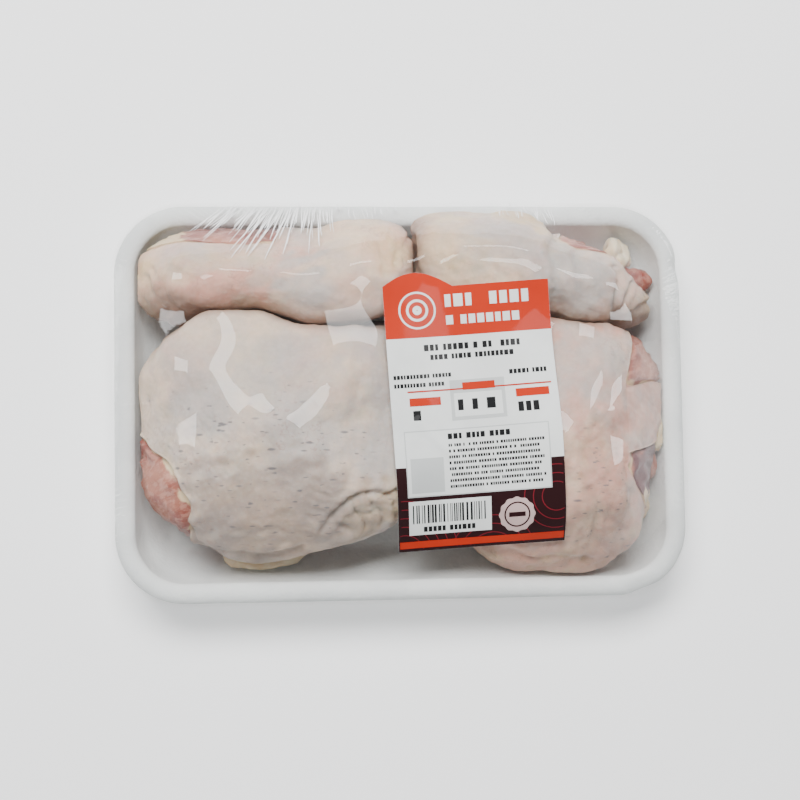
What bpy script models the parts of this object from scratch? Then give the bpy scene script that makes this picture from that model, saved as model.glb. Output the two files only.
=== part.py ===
"""A sealed retail pack of four raw chicken thighs: a foam tray, the thighs, the clear film and the label.

Metres, +Z up. The origin is the middle of the pack's underside, +X runs along the long side of the tray
and +Y towards its back. Every thigh is a rounded body that is pressed against its neighbours, the tray and
the floor of the tray, with a layer of skin over it that leaves the meat bare at some sides.
"""

import math
from dataclasses import dataclass

import bpy
import numpy as np
from mathutils import Vector
from mathutils.bvhtree import BVHTree

MM = 0.001

# Foam tray
TRAY_HALF_X = 103.9 * MM
TRAY_HALF_Y = 71.9 * MM
TRAY_CORNER = 25.0 * MM
TRAY_HEIGHT = 25.5 * MM
TRAY_FOAM = 3.6 * MM
TRAY_FLARE = 15.0 * MM
TRAY_LIP = 5.5 * MM
TRAY_FOOT = 8.0 * MM
TRAY_RECESS = 1.0 * MM
LIP_ROLL = 3.4 * MM
LIP_DROP = 3.4 * MM
INNER_FILLET = 7.0 * MM
SHARPEST_CORNER = 4.0 * MM
CORNER_STEPS = 6
LONG_STEPS = 7
SHORT_STEPS = 5
LIP_STEPS = 6

# Film
FILM_THICK = 0.4 * MM
FILM_GAP = 0.3 * MM
FILM_SIDE_GAP = 0.7 * MM
FILM_OVER_FOOD = 0.9 * MM
FILM_LEAST = 0.7 * MM
FILM_INSET = -3.4 * MM
FILM_HELD = -2.6 * MM
FILM_UNDERLAP = 42.0 * MM
FILM_COLUMNS = 26
FILM_ROWS = 18
LIFT_ROUNDS = 4
FILM_CELL = 3.0 * MM
FILM_ROUNDS = 900
ABOVE_ALL = 1.0

# Label
LABEL_WIDTH = 58.2 * MM
LABEL_HEIGHT = 91.8 * MM
LABEL_THICK = 0.4 * MM
LABEL_GAP = 0.5 * MM
LABEL_CENTRE = (22.9 * MM, -6.9 * MM)
LABEL_TURN = math.radians(3.5)
LABEL_ARCH_RISE = 5.5 * MM
LABEL_ARCH_CENTRE = -17.5 * MM
LABEL_ARCH_HALF = 13.0 * MM
LABEL_COLUMNS = 10
LABEL_ROWS = 14

# Thighs
SKIN_THICK = 1.6 * MM
SKIN_EDGE = 0.8 * MM
SKIN_GAP = 0.4 * MM
THIGH_GAP = 1.3 * MM
WALL_GAP = 0.7 * MM
SKIN_ROWS = 9
MEAT_ROWS = 5
THIGH_COLUMNS = 34
SQUEEZE_STEPS = 26
CONTACT_SHARE = 2.0
BLUNT_ROUNDS = 4
BLUNT_SHARE = 1.025
PRESS_SLOPE = 1.3
PRESS_START = 5.5 * MM
PRESS_ROUNDING = 7
RIM_SWELL = 5.0 * MM
RIM_SWELL_CLEAR = 0.8 * MM
RIM_SWELL_FADE = 3.0 * MM
RIM_SWELL_CENTRE = 16.0 * MM
RIM_SWELL_HALF = 48.0 * MM
RIM_PRESS_SLOPE = 1.75
RIM_PRESS_START = 0.8 * MM
BARE_FADE = 34.0
SWELL_SHARE = 0.018
SWELL_WAVES = ((5.1, 0.0, 3.3), (-4.1, 6.3, 2.0), (3.4, 5.2, 5.0))

# Where the tray's underside lies, over the film that is wrapped under it
TRAY_BASE = FILM_THICK + FILM_GAP
TRAY_FLOOR = TRAY_BASE + TRAY_FOAM
RIM_TOP = TRAY_BASE + TRAY_HEIGHT


@dataclass(frozen=True)
class Lobe:
    """A swelling, or with a negative gain a hollow, of a thigh towards one direction."""

    azimuth: float
    elevation: float
    gain: float
    spread: float


@dataclass(frozen=True)
class Bare:
    """A side where the skin stops higher up and the meat shows. Degrees."""

    azimuth: float
    half_width: float
    skin_line: float


@dataclass(frozen=True)
class Thigh:
    """One thigh: where it lies, its half sizes and how its form departs from a plump cushion."""

    name: str
    centre: tuple
    half_x: float
    half_y: float
    rise: float
    drop: float
    yaw: float
    squareness: float
    lobes: tuple
    bare: tuple
    skin_line: float = -24.0


THIGHS = (
    Thigh(
        name="thigh_front_left",
        centre=(-37 * MM, -13 * MM, 21 * MM),
        half_x=60 * MM,
        half_y=48 * MM,
        rise=35.5 * MM,
        drop=20 * MM,
        yaw=-2.0,
        squareness=2.45,
        lobes=(
            Lobe(azimuth=20, elevation=10, gain=0.06, spread=24),
            Lobe(azimuth=112, elevation=20, gain=0.08, spread=18),
            Lobe(azimuth=141, elevation=15, gain=0.17, spread=20),
            Lobe(azimuth=200, elevation=-5, gain=0.06, spread=18),
            Lobe(azimuth=229, elevation=-5, gain=-0.1, spread=18),
            Lobe(azimuth=287, elevation=0, gain=-0.27, spread=18),
            Lobe(azimuth=310, elevation=0, gain=-0.26, spread=18),
            Lobe(azimuth=338, elevation=0, gain=-0.14, spread=20),
            Lobe(azimuth=2, elevation=45, gain=-0.12, spread=26),
        ),
        bare=(Bare(azimuth=201, half_width=23, skin_line=37),),
    ),
    Thigh(
        name="thigh_back_left",
        centre=(-45 * MM, 49 * MM, 21 * MM),
        half_x=53 * MM,
        half_y=22 * MM,
        rise=33 * MM,
        drop=20 * MM,
        yaw=4.0,
        squareness=2.5,
        lobes=(
            Lobe(azimuth=30, elevation=20, gain=0.1, spread=20),
            Lobe(azimuth=62, elevation=20, gain=-0.12, spread=20),
            Lobe(azimuth=105, elevation=0, gain=-0.2, spread=24),
            Lobe(azimuth=138, elevation=-5, gain=-0.16, spread=18),
            Lobe(azimuth=215, elevation=15, gain=0.1, spread=18),
            Lobe(azimuth=245, elevation=35, gain=-0.14, spread=24),
            Lobe(azimuth=300, elevation=30, gain=0.23, spread=24),
            Lobe(azimuth=330, elevation=20, gain=0.27, spread=20),
        ),
        bare=(Bare(azimuth=126, half_width=46, skin_line=40),),
    ),
    Thigh(
        name="thigh_back_right",
        centre=(42 * MM, 49 * MM, 21 * MM),
        half_x=50 * MM,
        half_y=22 * MM,
        rise=32 * MM,
        drop=20 * MM,
        yaw=-17.0,
        squareness=2.4,
        lobes=(
            Lobe(azimuth=345, elevation=0, gain=0.18, spread=16),
            Lobe(azimuth=10, elevation=5, gain=-0.37, spread=18),
            Lobe(azimuth=42, elevation=12, gain=-0.5, spread=20),
            Lobe(azimuth=82, elevation=25, gain=0.2, spread=22),
            Lobe(azimuth=130, elevation=30, gain=0.06, spread=24),
            Lobe(azimuth=170, elevation=15, gain=-0.14, spread=20),
            Lobe(azimuth=205, elevation=15, gain=0.54, spread=20),
            Lobe(azimuth=250, elevation=30, gain=0.09, spread=24),
        ),
        bare=(Bare(azimuth=14, half_width=20, skin_line=34),),
    ),
    Thigh(
        name="thigh_front_right",
        centre=(59 * MM, -16 * MM, 21 * MM),
        half_x=40 * MM,
        half_y=50 * MM,
        rise=35.5 * MM,
        drop=20 * MM,
        yaw=4.0,
        squareness=2.45,
        lobes=(
            Lobe(azimuth=45, elevation=5, gain=0.24, spread=18),
            Lobe(azimuth=110, elevation=20, gain=0.17, spread=20),
            Lobe(azimuth=150, elevation=10, gain=0.13, spread=20),
            Lobe(azimuth=185, elevation=10, gain=-0.09, spread=20),
            Lobe(azimuth=220, elevation=0, gain=0.13, spread=18),
            Lobe(azimuth=270, elevation=0, gain=0.12, spread=18),
            Lobe(azimuth=295, elevation=0, gain=-0.1, spread=16),
            Lobe(azimuth=318, elevation=0, gain=-0.28, spread=18),
            Lobe(azimuth=350, elevation=0, gain=-0.2, spread=22),
        ),
        bare=(
            Bare(azimuth=340, half_width=20, skin_line=30),
            Bare(azimuth=50, half_width=14, skin_line=34),
        ),
    ),
)


def clear_scene():
    """Takes away whatever the file held."""
    for found in list(bpy.data.objects):
        bpy.data.objects.remove(found)


def finish(name, colour, roughness, alpha=1.0):
    """A plain Principled material."""
    material = bpy.data.materials.new(name)
    material.use_nodes = True
    shader = material.node_tree.nodes["Principled BSDF"]
    shader.inputs["Base Color"].default_value = (*colour, 1.0)
    shader.inputs["Roughness"].default_value = roughness
    shader.inputs["Metallic"].default_value = 0.0
    shader.inputs["Alpha"].default_value = alpha
    return material


def add_object(name, points, faces, material, smooth_angle=40.0):
    """Makes the named object of these points and faces, shaded smooth."""
    mesh = bpy.data.meshes.new(name)
    mesh.from_pydata([tuple(p) for p in points], [], faces)
    mesh.validate()
    mesh.shade_smooth()
    mesh.set_sharp_from_angle(angle=math.radians(smooth_angle))
    mesh.materials.append(material)
    made = bpy.data.objects.new(name, mesh)
    bpy.context.scene.collection.objects.link(made)
    return made


def ring_faces(first, second, count, flip=False):
    """The quads between two closed rings whose points start at these numbers."""
    faces = []
    for i in range(count):
        j = (i + 1) % count
        quad = (first + i, first + j, second + j, second + i)
        faces.append(quad[::-1] if flip else quad)
    return faces


def split(quads, points):
    """Each quad as two triangles along its shorter diagonal on these points.

    Layers that lie over each other are cut on the same points, so that their triangles match.
    """
    triangles = []
    for quad in quads:
        if len(quad) == 3:
            triangles.append(quad)
            continue
        a, b, c, d = quad
        if np.linalg.norm(points[a] - points[c]) <= np.linalg.norm(points[b] - points[d]):
            triangles += [(a, b, c), (a, c, d)]
        else:
            triangles += [(a, b, d), (b, c, d)]
    return triangles


def fan_faces(centre, ring, count, flip=False):
    """The triangles between one point and a closed ring."""
    faces = []
    for i in range(count):
        triangle = (centre, ring + i, ring + (i + 1) % count)
        faces.append(triangle[::-1] if flip else triangle)
    return faces


def rounded_ring(offset):
    """The tray's plan outline moved out by offset, counter-clockwise, as an array of x and y."""
    half_x = TRAY_HALF_X + offset
    half_y = TRAY_HALF_Y + offset
    radius = max(TRAY_CORNER + offset, SHARPEST_CORNER)
    corners = (
        (half_x - radius, half_y - radius, 0, LONG_STEPS),
        (radius - half_x, half_y - radius, 90, SHORT_STEPS),
        (radius - half_x, radius - half_y, 180, LONG_STEPS),
        (half_x - radius, radius - half_y, 270, SHORT_STEPS),
    )
    points = []
    for k, (x, y, start, _) in enumerate(corners):
        arc = np.radians(start + np.linspace(0, 90, CORNER_STEPS + 1))
        bend = np.column_stack([x + radius * np.cos(arc), y + radius * np.sin(arc)])
        points.extend(bend)
        x_next, y_next, start_next, _ = corners[(k + 1) % 4]
        angle = math.radians(start_next)
        goal = np.array([x_next + radius * math.cos(angle), y_next + radius * math.sin(angle)])
        steps = corners[k][3]
        for step in range(1, steps):
            points.append(bend[-1] + (goal - bend[-1]) * step / steps)
    return np.array(points)


def inside_wall(points, offset):
    """How far inside the tray's outline, moved out by offset, each point lies in plan. Negative is inside."""
    radius = np.maximum(TRAY_CORNER + offset, SHARPEST_CORNER)
    over_x = np.abs(points[:, 0]) - (TRAY_HALF_X + offset - radius)
    over_y = np.abs(points[:, 1]) - (TRAY_HALF_Y + offset - radius)
    outside = np.hypot(np.maximum(over_x, 0), np.maximum(over_y, 0))
    return outside + np.minimum(np.maximum(over_x, over_y), 0) - radius


def rim_share(points):
    """How far the food may swell over the back rim at each place: 1 by its middle, 0 away from it."""
    share = np.clip(2.5 * (1 - np.abs(points[:, 0] - RIM_SWELL_CENTRE) / RIM_SWELL_HALF), 0, 1)
    return share * share * (3 - 2 * share) * (points[:, 1] > 0)


def inner_wall_offset(height):
    """The offset of the tray's inner wall from its outline at a height over the floor."""
    share = np.clip((height - TRAY_FLOOR) / (RIM_TOP - TRAY_FLOOR), 0, 1)
    low, high = -(TRAY_FLARE + TRAY_FOAM), -(TRAY_LIP + 2 * MM)
    return low + share * (high - low)


def lip_arc(steps):
    """The rolled lip in section, from its outer foot over its top to its inner foot."""
    arc = np.radians(np.linspace(-30, 180, steps))
    half_width, half_height = TRAY_LIP / 2 + MM, LIP_DROP / 2 + MM
    return [
        (-half_width + half_width * math.cos(a), RIM_TOP - half_height + half_height * math.sin(a)) for a in arc
    ]


def build_tray(material):
    """The foam tray: a flared wall with a rolled lip, a flat floor and a foot round a shallow recess."""
    foot = -TRAY_FLARE
    wall = -(TRAY_LIP + TRAY_FOAM)
    recess = [(foot - TRAY_FOOT - 1.5 * MM, TRAY_BASE + TRAY_RECESS)]
    outside = [
        (foot - TRAY_FOOT, TRAY_BASE),
        (foot - 1.5 * MM, TRAY_BASE),
        (foot + 0.5 * MM, TRAY_BASE + 1.5 * MM),
        (foot * 0.42, TRAY_BASE + 0.62 * TRAY_HEIGHT),
        (-LIP_ROLL, RIM_TOP - 2 * LIP_DROP),
    ]
    inside = [
        (wall - 0.5 * TRAY_FOAM, TRAY_FLOOR + INNER_FILLET + 3 * MM),
        (foot - 0.7 * TRAY_FOAM, TRAY_FLOOR + 0.25 * INNER_FILLET),
        (foot - TRAY_FOAM - 2 * MM, TRAY_FLOOR),
    ]
    profile = recess + outside + lip_arc(LIP_STEPS) + inside
    points = []
    for offset, height in profile:
        ring = rounded_ring(offset)
        points.extend((x, y, height) for x, y in ring)
    count = len(rounded_ring(0.0))
    faces = []
    for k in range(len(profile) - 1):
        faces += ring_faces(k * count, (k + 1) * count, count)
    faces.append(tuple(range(count))[::-1])
    last = (len(profile) - 1) * count
    faces.append(tuple(range(last, last + count)))
    return add_object("tray", points, faces, material)


def turned(vectors, degrees):
    """Vectors turned about Z."""
    angle = math.radians(degrees)
    c, s = math.cos(angle), math.sin(angle)
    x, y, z = vectors[:, 0], vectors[:, 1], vectors[:, 2]
    return np.column_stack([c * x - s * y, s * x + c * y, z])


def direction_of(azimuth, elevation):
    """The unit vector of an azimuth and an elevation in degrees."""
    a, e = math.radians(azimuth), math.radians(elevation)
    return np.array([math.cos(a) * math.cos(e), math.sin(a) * math.cos(e), math.sin(e)])


def reach(thigh, directions):
    """How far a thigh reaches from its centre in each unit direction, before anything presses on it."""
    local = turned(directions, -thigh.yaw)
    height = np.where(local[:, 2] > 0, thigh.rise, thigh.drop)
    power = thigh.squareness
    total = (
        np.abs(local[:, 0] / thigh.half_x) ** power
        + np.abs(local[:, 1] / thigh.half_y) ** power
        + np.abs(local[:, 2] / height) ** power
    )
    radius = total ** (-1.0 / power)
    for lobe in thigh.lobes:
        towards = directions @ direction_of(lobe.azimuth, lobe.elevation)
        angle = np.degrees(np.arccos(np.clip(towards, -1, 1)))
        radius = radius * (1 + lobe.gain * np.exp(-((angle / lobe.spread) ** 2)))
    swell = np.sin(directions @ np.array(SWELL_WAVES).T + thigh.yaw).sum(axis=1)
    return radius * (1 + SWELL_SHARE * swell)


def fullness(thigh, points, depth=0.0):
    """0 at a thigh's centre and 1 at its free surface, for points in the row frame."""
    arms = points - np.array(thigh.centre)
    length = np.linalg.norm(arms, axis=1)
    return length / (reach(thigh, arms / length[:, None]) + THIGH_GAP / 2 - depth)


def pressed_height(points):
    """The height that the film, pulled down over the rim, leaves to the food at each place in plan."""
    share = rim_share(points)
    slope = PRESS_SLOPE + share * (RIM_PRESS_SLOPE - PRESS_SLOPE)
    start = PRESS_START + share * (RIM_PRESS_START - PRESS_START)
    return RIM_TOP + slope * (-inside_wall(points, 0.0) - start)


def outer_limit(points):
    """How far out the food may reach: to the inner wall, and at the back a little way over the rim."""
    above = np.clip((points[:, 2] - RIM_TOP - RIM_SWELL_CLEAR) / RIM_SWELL_FADE, 0, 1)
    above = above * above * (3 - 2 * above)
    return inner_wall_offset(points[:, 2]) + RIM_SWELL * rim_share(points) * above


def is_free(thigh, points, depth):
    """True for points this deep in the thigh or deeper: nearer to it than to its neighbours, clear of the tray."""
    own = fullness(thigh, points, CONTACT_SHARE * depth)
    free = points[:, 2] >= TRAY_FLOOR + WALL_GAP / 2 + depth
    free &= inside_wall(points, outer_limit(points)) <= -WALL_GAP - depth
    room = pressed_height(points) - depth * math.hypot(1, PRESS_SLOPE) - TRAY_FLOOR
    pressed = np.maximum(points[:, 2] - TRAY_FLOOR, 0) / np.maximum(room, MM)
    free &= fullness(thigh, points, depth) ** PRESS_ROUNDING + pressed**PRESS_ROUNDING <= 1
    for other in THIGHS:
        if other is not thigh:
            free &= own <= fullness(other, points)
    return free


def pressed_reach(thigh, directions, depth=0.0):
    """How far the thigh reaches once its neighbours, the wall and the floor press on it, less a depth."""
    centre = np.array(thigh.centre)
    free_reach = reach(thigh, directions) + THIGH_GAP / 2 - depth
    low = np.zeros(len(directions))
    high = np.ones(len(directions))
    for _ in range(SQUEEZE_STEPS):
        middle = (low + high) / 2
        fits = is_free(thigh, centre + directions * (free_reach * middle)[:, None], depth)
        low = np.where(fits, middle, low)
        high = np.where(fits, high, middle)
    return free_reach * low - THIGH_GAP / 2


def blunted(reaches):
    """Reaches over a thigh's rows, from top to bottom, drawn in where they stand out from their neighbours."""
    grid = reaches[1:-1].reshape(-1, THIGH_COLUMNS)
    for _ in range(BLUNT_ROUNDS):
        beside = (np.roll(grid, 1, axis=1) + np.roll(grid, -1, axis=1)) / 2
        grid = np.minimum(grid, beside * BLUNT_SHARE)
    return np.concatenate([reaches[:1], grid.ravel(), reaches[-1:]])


def skin_line(thigh, azimuths):
    """The elevation in degrees at which the skin stops, for each azimuth in degrees."""
    line = np.full(len(azimuths), thigh.skin_line)
    for bare in thigh.bare:
        away = np.abs((azimuths - bare.azimuth + 180) % 360 - 180)
        share = np.clip((bare.half_width + BARE_FADE / 2 - away) / BARE_FADE, 0, 1)
        smooth = share * share * (3 - 2 * share)
        line = line + (bare.skin_line - thigh.skin_line) * smooth
    return line


def thigh_grid(thigh):
    """Unit directions in rows from the top of the thigh to its underside: SKIN_ROWS rows end at the skin line."""
    turns = np.arange(THIGH_COLUMNS) * 2 * math.pi / THIGH_COLUMNS
    flat = np.column_stack([thigh.half_x * np.cos(turns), thigh.half_y * np.sin(turns), 0 * turns])
    flat = turned(flat, thigh.yaw)
    azimuths = np.degrees(np.arctan2(flat[:, 1], flat[:, 0]))
    line = skin_line(thigh, azimuths)
    rows = []
    for k in range(1, SKIN_ROWS + MEAT_ROWS):
        if k <= SKIN_ROWS:
            elevation = 90 + (line - 90) * k / SKIN_ROWS
        else:
            elevation = line + (-90 - line) * (k - SKIN_ROWS) / MEAT_ROWS
        e = np.radians(elevation)
        rise = np.where(e > 0, thigh.rise, thigh.drop)
        ray = np.column_stack([flat[:, 0] * np.cos(e), flat[:, 1] * np.cos(e), rise * np.sin(e)])
        rows.append(ray / np.linalg.norm(ray, axis=1)[:, None])
    return rows


def grid_faces(rows, columns):
    """Faces of a closed body: a point, rings from top to bottom, and a last point."""
    faces = fan_faces(0, 1, columns)
    for k in range(rows - 1):
        faces += ring_faces(1 + (k + 1) * columns, 1 + k * columns, columns)
    last = 1 + rows * columns
    faces += fan_faces(last, last - columns, columns, flip=True)
    return faces


def build_thigh(thigh, meat_material, skin_material):
    """The meat as one closed body and the skin as a closed layer over it. Returns the skin object."""
    rows = thigh_grid(thigh)
    directions = np.vstack([[(0, 0, 1)], *rows, [(0, 0, -1)]])
    centre = np.array(thigh.centre)

    def surface(depth):
        return centre + directions * blunted(pressed_reach(thigh, directions, depth))[:, None]

    under_skin = 1 + SKIN_ROWS * THIGH_COLUMNS
    edge = under_skin - THIGH_COLUMNS
    bare = surface(0.0)
    meat = bare.copy()
    meat[:under_skin] = surface(SKIN_THICK + SKIN_GAP)[:under_skin]
    meat_faces = split(grid_faces(len(rows), THIGH_COLUMNS), bare)
    add_object(thigh.name + "_meat", meat, meat_faces, meat_material)

    outer = bare[:under_skin].copy()
    outer[edge:] = surface(SKIN_THICK - SKIN_EDGE)[edge:under_skin]
    inner = surface(SKIN_THICK)[:under_skin]
    layer = np.vstack([outer, inner])
    skin_faces = fan_faces(0, 1, THIGH_COLUMNS)
    for k in range(SKIN_ROWS - 1):
        skin_faces += ring_faces(1 + (k + 1) * THIGH_COLUMNS, 1 + k * THIGH_COLUMNS, THIGH_COLUMNS)
    skin_faces = split(skin_faces, bare)
    skin_faces += [tuple(under_skin + i for i in face[::-1]) for face in skin_faces]
    skin_faces += ring_faces(under_skin + edge, edge, THIGH_COLUMNS)
    return add_object(thigh.name + "_skin", layer, skin_faces, skin_material)


def drape_heights(food):
    """The taut film over the food as a grid of heights, and the grid's x and y values.

    The film is held at the tray's rim. Between what it touches it lies like a stretched membrane, so each
    height is the mean of its neighbours unless the food holds it up.
    """
    xs = np.arange(-TRAY_HALF_X, TRAY_HALF_X + FILM_CELL, FILM_CELL)
    ys = np.arange(-TRAY_HALF_Y, TRAY_HALF_Y + FILM_CELL, FILM_CELL)
    trees = []
    graph = bpy.context.evaluated_depsgraph_get()
    for piece in food:
        trees.append(BVHTree.FromObject(piece, graph))
    held = np.full((len(xs), len(ys)), RIM_TOP + FILM_GAP)
    for i, x in enumerate(xs):
        for j, y in enumerate(ys):
            for tree in trees:
                hit = tree.ray_cast(Vector((x, y, ABOVE_ALL)), Vector((0, 0, -1)))[0]
                if hit is not None:
                    held[i, j] = max(held[i, j], hit.z + FILM_OVER_FOOD)
    flat = np.array([(x, y) for x in xs for y in ys])
    within = (inside_wall(flat, FILM_HELD) < 0).reshape(held.shape)
    rim = RIM_TOP + FILM_GAP
    heights = held.copy()
    for _ in range(FILM_ROUNDS):
        padded = np.pad(heights, 1, mode="edge")
        mean = (padded[2:, 1:-1] + padded[:-2, 1:-1] + padded[1:-1, 2:] + padded[1:-1, :-2]) / 4
        heights = np.where(within, np.maximum(mean, held), rim)
    return xs, ys, heights


def height_at(drape, x, y):
    """The film's height at a place in plan, read between the grid's points."""
    xs, ys, heights = drape
    u = min(max((x - xs[0]) / FILM_CELL, 0), len(xs) - 1.001)
    v = min(max((y - ys[0]) / FILM_CELL, 0), len(ys) - 1.001)
    i, j = int(u), int(v)
    s, t = u - i, v - j
    low = heights[i, j] * (1 - t) + heights[i, j + 1] * t
    high = heights[i + 1, j] * (1 - t) + heights[i + 1, j + 1] * t
    return low * (1 - s) + high * s


def plan_point(u, v, offset):
    """The place in plan of u and v, from -1 to 1, on the tray's outline moved out by offset.

    Straight lines of a square grid stay straight, but for the corners, where they bend into the round.
    """
    half_x = TRAY_HALF_X + offset
    half_y = TRAY_HALF_Y + offset
    radius = max(TRAY_CORNER + offset, SHARPEST_CORNER)
    x, y = abs(u) * half_x, abs(v) * half_y
    p = (x - half_x + radius) / radius
    q = (y - half_y + radius) / radius
    if p > 0 and q > 0:
        x = half_x - radius + radius * p * math.sqrt(1 - q * q / 2)
        y = half_y - radius + radius * q * math.sqrt(1 - p * p / 2)
    return math.copysign(x, u), math.copysign(y, v)


def film_section(out):
    """The film's path from the rim's top, round the lip and down to the underside, moved out by out."""
    foot = -TRAY_FLARE
    return [
        (-1.2 * MM, RIM_TOP + FILM_GAP + out * 0.9),
        (FILM_SIDE_GAP + out, RIM_TOP - 1.6 * MM),
        (FILM_SIDE_GAP - 0.2 * MM + out, RIM_TOP - 4.0 * MM),
        (foot + FILM_SIDE_GAP + 0.3 * MM + out, TRAY_BASE + 1.2 * MM),
        (foot - 1.0 * MM, TRAY_BASE - FILM_GAP - out),
        (foot - FILM_UNDERLAP, TRAY_BASE - FILM_GAP - out),
    ]


def border_of(columns, rows):
    """The index pairs round the edge of a grid of columns by rows cells, counter-clockwise from its low corner."""
    border = [(i, 0) for i in range(columns)]
    border += [(columns, j) for j in range(rows)]
    border += [(i, rows) for i in range(columns, 0, -1)]
    border += [(0, j) for j in range(rows, 0, -1)]
    return border


def film_top(drape):
    """The film's underside over the food, inside the rim, as points and quads."""
    points = []
    for i in range(FILM_COLUMNS + 1):
        for j in range(FILM_ROWS + 1):
            u, v = 2 * i / FILM_COLUMNS - 1, 2 * j / FILM_ROWS - 1
            x, y = plan_point(u, v, FILM_INSET)
            points.append([x, y, height_at(drape, x, y)])
    tall = FILM_ROWS + 1
    faces = []
    for i in range(FILM_COLUMNS):
        for j in range(FILM_ROWS):
            a = i * tall + j
            faces.append((a, a + tall, a + tall + 1, a + 1))
    return points, faces


def lift_clear(points, faces, pieces, least):
    """Raises a sheet's points until no corner of the pieces under it comes nearer to it than least."""
    up = Vector((0, 0, 1))
    for _ in range(LIFT_ROUNDS):
        tree = BVHTree.FromPolygons(points, faces)
        needed = [0.0] * len(points)
        for piece in pieces:
            for corner in piece.data.vertices:
                place = Vector((corner.co.x, corner.co.y, -1))
                hit, _, face, _ = tree.ray_cast(place, up)
                if hit is None or hit.z - corner.co.z >= least:
                    continue
                for index in faces[face]:
                    needed[index] = max(needed[index], least - (hit.z - corner.co.z))
        for point, more in zip(points, needed):
            point[2] += more


def build_film(food, material):
    """The clear film: taut over the food, round the rim and under the tray, where it leaves an opening."""
    points, sheet = film_top(drape_heights(food))
    lift_clear(points, sheet, food, FILM_LEAST)
    tall = FILM_ROWS + 1
    border = border_of(FILM_COLUMNS, FILM_ROWS)
    sides, side_faces = [], []
    for out in (FILM_THICK, 0.0):
        base = len(sides)
        sides += [(x, y, z + out) for x, y, z in points]
        for offset, height in film_section(out):
            for i, j in border:
                x, y = plan_point(2 * i / FILM_COLUMNS - 1, 2 * j / FILM_ROWS - 1, offset)
                sides.append((x, y, height))
        faces = [tuple(base + k for k in face) for face in sheet]
        ring = [base + i * tall + j for i, j in border]
        for k in range(len(film_section(out))):
            start = base + len(points) + k * len(border)
            lower = list(range(start, start + len(border)))
            for n in range(len(border)):
                m = (n + 1) % len(border)
                faces.append((ring[n], lower[n], lower[m], ring[m]))
            ring = lower
        side_faces.append((faces, ring))
    (outer_faces, outer_end), (inner_faces, inner_end) = side_faces
    faces = outer_faces + [face[::-1] for face in inner_faces]
    for n in range(len(border)):
        m = (n + 1) % len(border)
        faces.append((outer_end[n], inner_end[n], inner_end[m], outer_end[m]))
    return add_object("film", sides, faces, material)


def label_top(u):
    """The label's upper edge over its middle, with an arch near its left end."""
    away = abs(u - LABEL_ARCH_CENTRE) / LABEL_ARCH_HALF
    arch = LABEL_ARCH_RISE * math.cos(away * math.pi / 2) if away < 1 else 0.0
    return LABEL_HEIGHT / 2 + arch


def build_label(film, material):
    """The paper label, lying on the film."""
    tree = BVHTree.FromObject(film, bpy.context.evaluated_depsgraph_get())
    c, s = math.cos(LABEL_TURN), math.sin(LABEL_TURN)
    lower = []
    for i in range(LABEL_COLUMNS + 1):
        u = LABEL_WIDTH * (i / LABEL_COLUMNS - 0.5)
        top = label_top(u)
        for j in range(LABEL_ROWS + 1):
            v = -LABEL_HEIGHT / 2 + (top + LABEL_HEIGHT / 2) * j / LABEL_ROWS
            x = LABEL_CENTRE[0] + c * u - s * v
            y = LABEL_CENTRE[1] + s * u + c * v
            hit = tree.ray_cast(Vector((x, y, ABOVE_ALL)), Vector((0, 0, -1)))[0]
            lower.append([x, y, hit.z + LABEL_GAP])
    tall = LABEL_ROWS + 1
    sheet = []
    for i in range(LABEL_COLUMNS):
        for j in range(LABEL_ROWS):
            a = i * tall + j
            sheet.append((a, a + tall, a + tall + 1, a + 1))
    lift_clear(lower, sheet, [film], LABEL_GAP)
    upper = [(x, y, z + LABEL_THICK) for x, y, z in lower]
    faces = [tuple(len(lower) + k for k in face) for face in sheet]
    faces += [face[::-1] for face in sheet]
    border = [i * tall + j for i, j in border_of(LABEL_COLUMNS, LABEL_ROWS)]
    for k, a in enumerate(border):
        b = border[(k + 1) % len(border)]
        faces.append((a, b, len(lower) + b, len(lower) + a))
    return add_object("label", lower + upper, faces, material)


def main():
    """Builds the pack from the tray up."""
    clear_scene()
    build_tray(finish("tray_foam", (0.80, 0.82, 0.81), 0.6))
    meat = finish("raw_meat", (0.55, 0.20, 0.16), 0.35)
    skin = finish("raw_skin", (0.69, 0.56, 0.48), 0.4)
    skins = [build_thigh(thigh, meat, skin) for thigh in THIGHS]
    bpy.context.view_layer.update()
    film = build_film(skins, finish("clear_film", (0.95, 0.97, 0.97), 0.05, alpha=0.12))
    bpy.context.view_layer.update()
    build_label(film, finish("label_paper", (0.86, 0.87, 0.85), 0.35))


main()
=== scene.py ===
"""Looks of a sealed tray pack of raw chicken thighs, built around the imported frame.

Metres, +Z up, in the frame of the solids: the origin is the middle of the pack's underside, +X runs along
the long side of the tray and +Y towards its back.
"""

from __future__ import annotations

import logging
import math
from collections.abc import Iterable, Sequence
from dataclasses import dataclass, field, replace
from enum import Enum

import bpy
import numpy as np
from bpy.types import Material, Node, NodeSocket, NodeTree, Object
from mathutils import Matrix, Vector
from mathutils.bvhtree import BVHTree


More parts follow.
